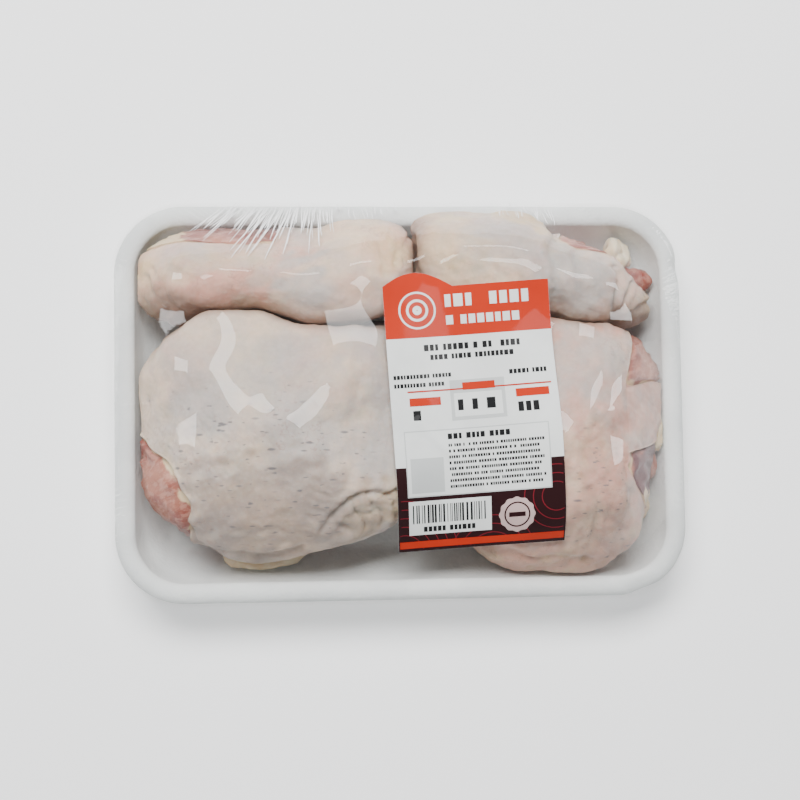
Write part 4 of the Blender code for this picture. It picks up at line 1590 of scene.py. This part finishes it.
def bar(left: float, right: float, low: float, high: float, ink: Ink, layer: int = 2) -> Mark:
    """A printed rectangle, in steps fine enough to follow the label."""
    columns, rows = (max(1, math.ceil(size / PRINT_STEP)) for size in (right - left, high - low))
    u, v = pairs(np.linspace(left, right, columns + 1), np.linspace(low, high, rows + 1))
    return Mark(np.column_stack([u, v]), sheet_faces(columns, rows), ink, layer)


def ring_mark(
    u: float, v: float, inner: float, outer: float, ink: Ink, layer: int = 2, waves: float = 0.0
) -> Mark:
    """A printed ring or disc, with a scalloped outline where waves isn't 0."""
    steps, scallops, step = 72, 12, 1.2
    index = np.arange(steps)
    turn = index * 2 * math.pi / steps
    radii = np.linspace(inner, outer, max(2, math.ceil((outer - inner) / step) + 1))
    rows = []
    for radius in radii:
        swell = radius * (1 + waves * np.cos(scallops * turn) * (radius / outer))
        rows.append(np.column_stack([u + swell * np.cos(turn), v + swell * np.sin(turn)]))
    firsts = steps * np.arange(len(rows) - 1)
    faces = [band_faces(first + index, first + steps + index) for first in firsts]
    return Mark(np.vstack(rows), np.vstack(faces), ink, layer)


def stroke(path: Array, width: float, ink: Ink, layer: int = 2) -> Mark:
    """A printed line along a path in plan."""
    along = unit(np.column_stack([np.gradient(path[:, 0]), np.gradient(path[:, 1])]))
    side = np.column_stack([along[:, 1], -along[:, 0]]) * width / 2
    points = np.vstack([path + side, path - side])
    k = np.arange(len(path) - 1)
    faces = np.column_stack([k, k + 1, len(path) + k + 1, len(path) + k])
    return Mark(points, faces, ink, layer)


def words(
    left: float, right: float, low: float, high: float, ink: Ink, seed: int, layer: int = 3
) -> list[Mark]:
    """A line that only suggests print: blocks of uneven width with gaps."""
    draw = np.random.default_rng(seed)
    marks, u, tall = [], left, high - low
    while u < right:
        wide = tall * draw.uniform(*LETTER_WIDTHS)
        if draw.uniform() < SPACE_CHANCE:
            u += tall * SPACE
            continue
        if u + wide > right:
            break
        marks.append(bar(u, u + wide, low, high, ink, layer))
        u += wide + tall * LETTER_GAP
    return marks


@dataclass
class Label:
    """The paper label on the film: an arched top, a red head and a dark foot. Lengths in millimetres."""

    width: float = 58.2
    height: float = 91.8
    centre: Pair = (22.9, -6.9)
    turn: float = 3.5
    arch_rise: float = 5.5
    arch_centre: float = -17.5
    arch_half: float = 13.0
    cell: float = 0.6
    clearance: float = 0.18
    paper: float = 0.16
    ink: float = 0.035
    head: float = 28.4
    foot: float = -16.5
    field_cells: tuple[int, int] = (90, 46)
    inset: float = 0.03
    swirl_inset: float = 0.6
    swirl_width: float = 0.3
    crease_from: Pair = (-21.0, 0.5)
    crease_along: Pair = (33.0, -38.0)
    crease_height: float = 0.6
    crease_width: float = 1.7
    stiffness: Pair = (4.5, 3.0)
    finish: PaperFinish = PaperFinish("label_paper", Ink.WHITE.value)

    def top(self, u: Array) -> Array:
        """The label's upper edge."""
        away = np.abs(u - self.arch_centre) / self.arch_half
        arch = self.arch_rise * np.cos(np.minimum(away, 1) * math.pi / 2)
        return self.height / 2 + np.where(away < 1, arch, 0)

    def place(self, flat: Array) -> Array:
        """Places in the frame, in metres, of points in the label's own plan."""
        c, s = math.cos(math.radians(self.turn)), math.sin(math.radians(self.turn))
        u, v = flat[:, 0], flat[:, 1]
        return np.column_stack([self.centre[0] + c * u - s * v, self.centre[1] + s * u + c * v]) * MM

    def crease(self, flat: Array) -> Array:
        """How far the label stands up along its one diagonal crease, in metres."""
        start, along = np.array(self.crease_from), np.array(self.crease_along)
        share = np.clip((flat - start) @ along / (along @ along), 0, 1)
        gap = np.linalg.norm(flat - start - share[:, None] * along, axis=1)
        across = np.exp(-((gap / self.crease_width) ** 2))
        return self.crease_height * MM * across * np.sin(share * math.pi) ** 0.5

    def lift(self, taut: Field) -> Field:
        """The stiff paper's heights over the film."""
        blur, ease = self.stiffness
        return taut.smoothed(blur * MM).over(taut, self.clearance * MM, ease * MM)

    def marks(self) -> list[Mark]:
        """Everything that is printed, from the large fields to the fine lines."""
        marks = [self.field_mark(self.head, None, Ink.RED)]
        marks.append(self.field_mark(-self.height / 2, self.foot, Ink.MAROON))
        for inner, outer, ink, layer in (
            (0.3, 6.6, Ink.WHITE, 2),
            (0.3, 5.9, Ink.RED, 3),
            (3.0, 3.9, Ink.WHITE, 4),
            (0.2, 1.6, Ink.WHITE, 4),
        ):
            marks.append(ring_mark(-17.4, 38.0, inner, outer, ink, layer))
        for line in (
            (-7.5, 24.0, 38.6, 43.0, Ink.WHITE, 3),
            (-7.5, 20.0, 32.4, 35.6, Ink.WHITE, 4),
            (-16.0, 18.0, 23.6, 25.8, Ink.BLACK, 5),
            (-14.0, 16.0, 20.4, 22.2, Ink.BLACK, 6),
            (-27.5, -5.0, 14.2, 15.6, Ink.BLACK, 7),
            (-27.5, -9.0, 11.2, 12.6, Ink.BLACK, 8),
            (13.0, 27.0, 13.6, 15.2, Ink.BLACK, 9),
        ):
            marks += words(*line)
        for shape in (
            (-8.0, 11.0, -1.2, 12.8, Ink.GREY, 2),
            (-6.8, 9.8, 0.0, 8.2, Ink.WHITE, 3),
            (-23.0, 27.0, 9.4, 9.9, Ink.RED, 4),
            (-22.5, -11.5, 4.6, 7.4, Ink.RED, 3),
            (-3.6, 7.6, 9.2, 11.8, Ink.RED, 5),
            (14.6, 26.0, 5.4, 8.2, Ink.RED, 3),
        ):
            marks.append(bar(*shape))
        marks += words(-21.5, -13.0, -0.4, 3.0, Ink.BLACK, 10)
        marks += words(-5.6, 8.8, 2.2, 6.0, Ink.BLACK, 11, 5)
        marks += words(15.0, 26.0, 0.2, 3.6, Ink.BLACK, 12)
        marks += self.swirls()
        marks += self.notice()
        marks += self.stripes()
        marks.append(ring_mark(12.4, -35.4, 0.3, 6.0, Ink.BLUSH, 4, 0.035))
        marks.append(ring_mark(12.4, -35.4, 3.9, 4.4, Ink.MAROON, 5))
        marks.append(bar(9.6, 15.2, -36.2, -34.6, Ink.MAROON, 5))
        marks.append(bar(-28.6, 28.6, -44.8, -42.4, Ink.RED, 4))
        return marks

    def field_mark(self, low: float, high: float | None, ink: Ink) -> Mark:
        """A field of colour right across the label, up to its upper edge where high is None."""
        columns, rows, inset = self.field_cells + (self.inset,)
        reach = self.width / 2 - inset
        u, t = pairs(np.linspace(-reach, reach, columns + 1), np.linspace(0, 1, rows + 1))
        upper = self.top(u) - inset if high is None else high
        v = low + inset + (upper - low - inset) * t
        return Mark(np.column_stack([u, v]), sheet_faces(columns, rows), ink, 1)

    def notice(self) -> list[Mark]:
        """A framed box with a grey field and lines that suggest small print."""
        marks = [bar(-25.4, 24.6, -27.0, -4.0, Ink.GREY, 3), bar(-25.0, 24.2, -26.6, -4.4, Ink.WHITE, 4)]
        marks.append(bar(-23.8, -12.0, -25.6, -13.6, Ink.GREY, 5))
        marks += words(-10.0, 12.0, -7.6, -5.6, Ink.BLACK, 13, 5)
        for row in range(8):
            high = -9.2 - 2.05 * row
            marks += words(-10.0, 23.0 - (row % 3), high - 1.0, high, Ink.BLACK, 20 + row, 5)
        return marks

    def stripes(self) -> list[Mark]:
        """A white box of upright stripes of uneven width."""
        marks = [bar(-25.2, 3.8, -40.2, -28.4, Ink.WHITE, 4)]
        draw = np.random.default_rng(31)
        u, end, widths, gaps = -23.8, 2.2, [0.25, 0.45, 0.7], [0.3, 0.5, 0.8]
        while u < end:
            wide = draw.choice(widths)
            marks.append(bar(u, u + wide, -36.2, -29.8, Ink.BLACK, 5))
            u += wide + draw.choice(gaps)
        return marks + words(-20.0, 0.0, -39.2, -37.4, Ink.BLACK, 14, 5)

    def swirls(self) -> list[Mark]:
        """Fine dark red arcs on the foot, as far as they lie on it."""
        lines, inset = [], self.swirl_inset
        turn = np.linspace(0, 2 * math.pi, 121)
        circle = np.column_stack([np.cos(turn), np.sin(turn)])
        for middle, radii in (
            ((-27.0, -47.0), (7, 10, 13, 16, 19)),
            ((26.0, -30.0), (5, 8, 11)),
            ((4.0, -50.0), (9, 12, 15)),
        ):
            for radius in radii:
                path = np.array(middle) + radius * circle
                keep = (np.abs(path[:, 0]) < self.width / 2 - inset) & (path[:, 1] < self.foot - inset)
                keep &= path[:, 1] > -self.height / 2 + inset
                cuts = np.flatnonzero(np.diff(keep.astype(int))) + 1
                for part, kept in zip(np.split(path, cuts), np.split(keep, cuts)):
                    if kept[0] and len(part) > 3:
                        lines.append(stroke(part, self.swirl_width, Ink.WINE))
        return lines

    def build(self, taut: Field) -> list[Object]:
        """Builds the paper and what is printed on it.

        Args:
            taut: The film's heights.

        Returns:
            The paper and the print.
        """
        lifted = self.lift(taut)
        columns, rows = round(self.width / self.cell), round(self.height / self.cell) + 6
        u, t = pairs(np.linspace(-0.5, 0.5, columns + 1) * self.width, np.linspace(0, 1, rows + 1))
        flat = np.column_stack([u, -self.height / 2 + (self.top(u) + self.height / 2) * t])
        lower = self.raised(flat, lifted, 0.0)
        upper = self.raised(flat, lifted, self.paper * MM)
        points = np.vstack([lower, upper])
        border = border_of(columns, rows)
        faces = np.vstack(
            [
                sheet_faces(columns, rows, 0, Side.DOWN),
                sheet_faces(columns, rows, len(lower)),
                band_faces(len(lower) + border, border),
            ]
        )
        paper = build_object("label_sheet", points, faces, [self.finish.material()], sharp=40)
        hand_over(paper, "label_paper", "label")
        inks = list(Ink)
        materials = [PaperFinish("ink_" + ink.name.lower(), ink.value).material() for ink in inks]
        places, polygons, picks, start = [], [], [], 0
        for mark in self.marks():
            places.append(self.raised(mark.points, lifted, (self.paper + self.ink * mark.layer) * MM))
            polygons.append(start + mark.faces)
            picks += [inks.index(mark.ink)] * len(mark.faces)
            start += len(mark.points)
        points, faces = np.vstack(places), np.vstack(polygons)
        printed = build_object("label_print", points, faces, materials, None, np.array(picks), 40)
        return [paper, hand_over(printed, "label_paper")]

    def raised(self, flat: Array, lifted: Field, above: float) -> Array:
        """Points of the label's plan on the lifted paper, a little above it."""
        x, y = self.place(flat).T
        return np.column_stack([x, y, lifted.at(x, y) + self.crease(flat) + above])


# Studio


@dataclass
class Studio:
    """Floor, light and camera."""

    camera_place: Triple = (-0.050, -0.038, 0.600)
    camera_target: Triple = (-0.001, 0.0005, 0.025)
    camera_lens: float = 71.5
    camera_roll: float = 0.9
    floor_colour: Colour = (0.90, 0.90, 0.90)
    floor_glow: float = 0.5
    floor_half: float = 3.0
    floor_drop: float = 0.0003
    sky: Colour = (0.93, 0.96, 1.0)
    surround: float = 0.38
    key_place: Triple = (-0.17, 0.58, 1.12)
    key_size: Pair = (0.8, 0.5)
    key_power: float = 32.5
    pane_radiance: float = 11.0
    panes: tuple[tuple[Triple, Pair], ...] = (
        ((-0.43, 0.35, 1.0), (0.30, 0.10)),
        ((-1.40, 0.24, 0.55), (0.26, 0.50)),
        ((0.15, 0.17, 1.0), (0.24, 0.20)),
        ((0.08, 1.02, 1.0), (0.6, 0.10)),
        ((0.78, 0.42, 1.0), (0.20, 0.32)),
        ((1.50, 0.25, 0.45), (0.15, 0.5)),
    )

    def build_floor(self) -> None:
        """A plain pale floor."""
        far, low = self.floor_half, -self.floor_drop
        points = np.array([(-far, -far, low), (far, -far, low), (far, far, low), (-far, far, low)])
        material, kit, shader = start_material("studio_floor")
        kit.wire(shader, Base_Color=self.floor_colour, Roughness=0.9)
        kit.wire(shader, Emission_Color=(1, 1, 1), Emission_Strength=self.floor_glow)
        build_object("studio_floor", points, [(0, 1, 2, 3)], [material])

    def build_camera(self) -> Object:
        """The camera above the pack."""
        camera = bpy.data.objects.new("camera", bpy.data.cameras.new("camera"))
        bpy.context.scene.collection.objects.link(camera)
        camera.location = self.camera_place
        forward = (Vector(self.camera_target) - Vector(self.camera_place)).normalized()
        roll = math.radians(self.camera_roll)
        right = forward.cross(Vector((math.sin(roll), math.cos(roll), 0))).normalized()
        up = right.cross(forward)
        camera.rotation_mode = "QUATERNION"
        turn = Matrix(np.column_stack([right, up, -forward]).tolist())
        camera.rotation_quaternion = turn.to_quaternion()
        camera.data.lens = self.camera_lens
        camera.data.clip_start = 0.01
        bpy.context.scene.camera = camera
        return camera

    def add_light(
        self, name: str, place: Vector, target: Vector, size: Pair, power: float
    ) -> Object:
        """A rectangular soft light.

        Args:
            name: Name of the light.
            place: Where it is.
            target: What it points at.
            size: Its width and height.
            power: Its power in watts.

        Returns:
            The light.
        """
        lamp = bpy.data.lights.new(name, "AREA")
        lamp.shape = "RECTANGLE"
        lamp.size, lamp.size_y = size
        lamp.energy = power
        made = bpy.data.objects.new(name, lamp)
        made.location = place
        made.rotation_mode = "QUATERNION"
        made.rotation_quaternion = (place - target).to_track_quat("Z", "Y")
        bpy.context.scene.collection.objects.link(made)
        return made

    def build_light(self) -> None:
        """A pale surround, a large soft light at the back and window panes that only mirror."""
        world = bpy.data.worlds.new("surround")
        world.use_nodes = True
        background = world.node_tree.nodes["Background"]
        Nodes(world.node_tree).wire(background, Color=self.sky, Strength=self.surround)
        bpy.context.scene.world = world
        middle = Vector((0, 0, 0.03))
        key = self.add_light("key", Vector(self.key_place), middle, self.key_size, self.key_power)
        key.visible_glossy = False
        for k, (place, size) in enumerate(self.panes):
            power = self.pane_radiance * math.pi * size[0] * size[1]
            pane = self.add_light(f"pane_{k}", Vector(place), middle, size, power)
            pane.visible_diffuse = False

    def build(self) -> None:
        """Sets up everything round the pack."""
        self.build_floor()
        self.build_camera()
        self.build_light()


THIGHS = (
    Thigh(
        "thigh_front_left", (-37, -13, 21), 60, 48, 35.5, -2, 2.45,
        (
            Lobe(20, 10, 0.06, 24), Lobe(112, 20, 0.08, 18), Lobe(145, 12, 0.38, 16), Lobe(200, -5, 0.06, 18),
            Lobe(229, -5, -0.1, 18), Lobe(287, 0, -0.27, 18), Lobe(310, 0, -0.26, 18),
            Lobe(338, 0, -0.14, 20), Lobe(2, 45, -0.12, 26),
        ),
        (Bare(202, 24, 38),),
        101, 224,
        folds=(
            Fold(
                ((-31, -46), (-27, -41), (-22, -36.6), (-16.7, -34), (-12, -33), (-8, -34.7), (-3, -32.3)),
                1.3, 1.1,
            ),
            Fold(((-22, -36.6), (-20, -41), (-14.5, -45)), 0.9, 0.9),
            Fold(((-14.4, -33.5), (-12.3, -38.6), (-6.7, -43)), 1.0, 0.9),
            Fold(((-7.6, -34.7), (-5, -38.7), (-3, -41)), 0.8, 0.8),
            Fold(((-28.7, -42.6), (-25, -46), (-19, -48)), 0.7, 0.9),
            Fold(((-19, -41), (-12, -40.5), (-5, -41)), 0.5, 0.8),
            Fold(
                ((-80, -41), (-73.7, -49), (-64.8, -53), (-55.9, -55), (-46.9, -54.5), (-37.9, -52.6)),
                1.2, 1.0,
            ),
        ),
        wrinkles=(Wrinkles(-30, -34, 14, 12, 60, 3.4, 0.35), Wrinkles(-52, -36, 26, 12, 80, 6.5, 0.22)),
        patches=(
            Patch(Tone.SPECKS, -50, -24, 38, 24),
            Patch(Tone.YELLOW, -85, -21, 3.2, 3.0, 0, 0.9),
            Patch(Tone.GREY, -48, -6, 34, 20, 0, 0.25),
            Patch(Tone.YELLOW, -14, -40, 15, 8, 20, 0.55),
            Patch(Tone.YELLOW, -46, -20, 14, 7, 10, 0.22),
            Patch(Tone.YELLOW, -84, -8, 3, 8, 20, 0.45),
            Patch(Tone.PINK, -78, 8, 9, 15, 0, 0.35),
            Patch(Tone.PINK, -24, 8, 18, 14, 0, 0.22),
            # painted shade: the lower front of this thigh is darkened by a shade patch and a grey patch
            Patch(Tone.SHADE, -50, -40, 38, 18, 0, 0.5),
            Patch(Tone.GREY, -52, -38, 30, 14, 0, 0.4),
        ),
        pinkness=0.12, greyness=0.5,
    ),
    Thigh(
        "thigh_back_left", (-45, 49, 21), 53, 22, 33, 4, 2.5,
        (
            Lobe(30, 20, 0.1, 20), Lobe(62, 20, -0.12, 20), Lobe(105, 0, -0.2, 24),
            Lobe(138, -5, -0.16, 18), Lobe(211, 8, 0.36, 15), Lobe(245, 35, -0.14, 24),
            Lobe(300, 30, 0.23, 24), Lobe(330, 20, 0.27, 20),
        ),
        (Bare(128, 44, 56),),
        202, 176,
        folds=(
            Fold(((-93, 44), (-88, 36), (-86, 29)), 0.7, 1.2),
            Fold(((-90, 47), (-84, 38), (-80, 32)), 0.5, 1.0),
            Fold(((-10.3, 61), (-9.3, 52), (-7.7, 43)), 0.9, 1.3),
            Fold(((-4, 60), (-1.6, 52.8), (-4, 46)), 0.7, 1.0),
            Fold(((3, 60), (0.6, 55), (1, 48)), 0.7, 1.0),
            Fold(((-86.5, 38.7), (-83, 32.3), (-76, 29.4)), 0.6, 1.1),
        ),
        patches=(
            Patch(Tone.GREY, -36, 38, 9, 13, 0, 0.75),
            Patch(Tone.YELLOW, -5, 53, 8, 8, -40, 0.55),
            Patch(Tone.YELLOW, -90, 40, 6, 14, 15, 0.75),
            Patch(Tone.PINK, -66, 36, 18, 8, 0, 0.45),
            Patch(Tone.PINK, -40, 52, 10, 10, 0, 0.3),
            Patch(Tone.YELLOW, -74, 44, 14, 9, 0, 0.3),
            Patch(Tone.YELLOW, -20, 58, 14, 6, 0, 0.25),
            # painted shade in a crease by the folds
            Patch(Tone.SHADE, -80, 34, 9, 6, -20, 0.25),
            Patch(Tone.FAT, -88, 59, 10, 6, 15, 0.9),
            Patch(Tone.DARK, -42, 67, 16, 6, 0, 0.7),
        ),
        pinkness=0.42, greyness=0.0,
    ),
    Thigh(
        "thigh_back_right", (42, 49, 21), 50, 22, 32, -17, 2.4,
        (
            Lobe(345, 0, 0.18, 16), Lobe(10, 5, -0.37, 18), Lobe(42, 12, -0.5, 20),
            Lobe(82, 25, 0.2, 22), Lobe(130, 30, 0.06, 24), Lobe(170, 15, -0.14, 20),
            Lobe(205, 15, 0.54, 20), Lobe(250, 30, 0.09, 24),
        ),
        (Bare(18, 22, 50),),
        303, 176,
        folds=(
            Fold(((56, 62), (53, 52), (52, 40), (55, 27)), 1.7, 2.4),
            Fold(((84, 41), (80, 33), (76.4, 27)), 1.3, 1.3),
            Fold(((93, 36), (84, 30), (78, 27)), 1.2, 1.2),
            Fold(((75.6, 46), (76.8, 36.5), (75.5, 27)), 1.3, 1.2),
            Fold(((90.6, 44), (93, 38), (94, 30)), 0.9, 1.0),
            Fold(((87, 46), (86, 38), (82, 31)), 0.6, 0.9),
        ),
        patches=(
            Patch(Tone.YELLOW, 43, 66, 13, 4.5, -30, 0.85),
            Patch(Tone.GREY, 61, 38, 11, 15, 0, 0.7),
            Patch(Tone.GREY, 32, 52, 12, 10, 0, 0.4),
            Patch(Tone.YELLOW, 14, 56, 12, 14, 0, 0.4),
            # painted shade in a crease by the folds
            Patch(Tone.SHADE, 78, 29, 6, 5, 0, 0.35),
            Patch(Tone.YELLOW, 92, 36, 4, 6, 0, 0.6),
            Patch(Tone.DARK, 31, 72, 8, 4, 0, 0.5),
            Patch(Tone.PINK, 84, 45, 8, 7, 0, 0.5),
        ),
        pinkness=0.22, greyness=0.0,
    ),
    Thigh(
        "thigh_front_right", (59, -16, 21), 40, 50, 35.5, 4, 2.45,
        (
            Lobe(45, 5, 0.24, 18), Lobe(110, 20, 0.17, 20), Lobe(150, 10, 0.13, 20), Lobe(185, 10, -0.09, 20),
            Lobe(220, 0, 0.13, 18), Lobe(270, 0, 0.12, 18), Lobe(295, 0, -0.1, 16), Lobe(318, 0, -0.28, 18),
            Lobe(350, 0, -0.2, 22),
        ),
        (Bare(338, 23, 58), Bare(48, 16, 50)),
        404, 200,
        folds=(
            Fold(((63, -34), (65, -44), (67.6, -51), (72, -57)), 0.9, 1.4),
            Fold(((74, -20), (78, -36), (76, -52)), 0.5, 2.0),
            Fold(((28, -52), (46, -58), (66, -57)), 0.9, 1.2),
        ),
        wrinkles=(Wrinkles(70, -50, 12, 12, 10, 4.5, 0.35),),
        patches=(
            Patch(Tone.SPECKS, 67, -38, 13, 22),
            Patch(Tone.YELLOW, 63, -23, 5, 9, 0, 0.6),
            Patch(Tone.YELLOW, 48, -60, 24, 6, -6, 0.75),
            Patch(Tone.PINK, 66, -18, 14, 12, 0, 0.65),
            Patch(Tone.GREY, 66, 12, 16, 14, 0, 0.5),
            # painted shade on the front and middle of this thigh
            Patch(Tone.SHADE, 66, -46, 14, 13, 0, 0.3),
            Patch(Tone.SHADE, 64, -20, 12, 9, 0, 0.25),
            Patch(Tone.DARK, 90, -29, 9, 13, 10, 1.6),
            Patch(Tone.FAT, 91, -38, 8, 5, 10, 0.9),
            Patch(Tone.FAT, 97, -12, 4, 8, 5, 0.9),
        ),
        pinkness=0.85, greyness=0.12,
    ),
)

LUMPS = (
    Lump("fat_front_left", "raw_skin", (-51, -55.0, 15.0), (13.0, 6.8, 4.5), 2, 11),
    Lump("fat_right", "raw_skin", (92.0, -12.5, 23.0), (4.0, 8.6, 4.4), -6, 12),
    Lump("knob_back_right", "raw_skin", (81.0, 54.0, 18.5), (5.6, 5.8, 6.0), 20, 13),
    Lump("meat_back_right", "raw_meat", (86.0, 44.5, 18.5), (7.4, 4.8, 5.5), -35, 14),
    Lump("meat_right", "raw_meat", (89.5, -23.0, 20.0), (4.6, 8.0, 5.0), 14, 15),
    Lump("fat_low_right", "raw_skin", (88.0, -39.0, 15.0), (6.0, 6.5, 4.2), 30, 16),
)


def main() -> None:
    """Builds the pack and the studio."""
    logging.basicConfig(level=logging.INFO, format="%(name)s: %(message)s")
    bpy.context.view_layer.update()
    tray = Tray()
    tray.build()
    food = Batch(tray, THIGHS).build()
    fat, meat = FatFinish().material(), MeatFinish().material()
    for lump in LUMPS:
        food.append(lump.build(tray, fat if lump.slot == "raw_skin" else meat))
    bpy.context.view_layer.update()
    film = Film(tray)
    taut = film.drape(food)
    film.build(taut)
    film.build_pleats(taut)
    Label().build(taut)
    Studio().build()


if __name__ == "__main__":
    main()
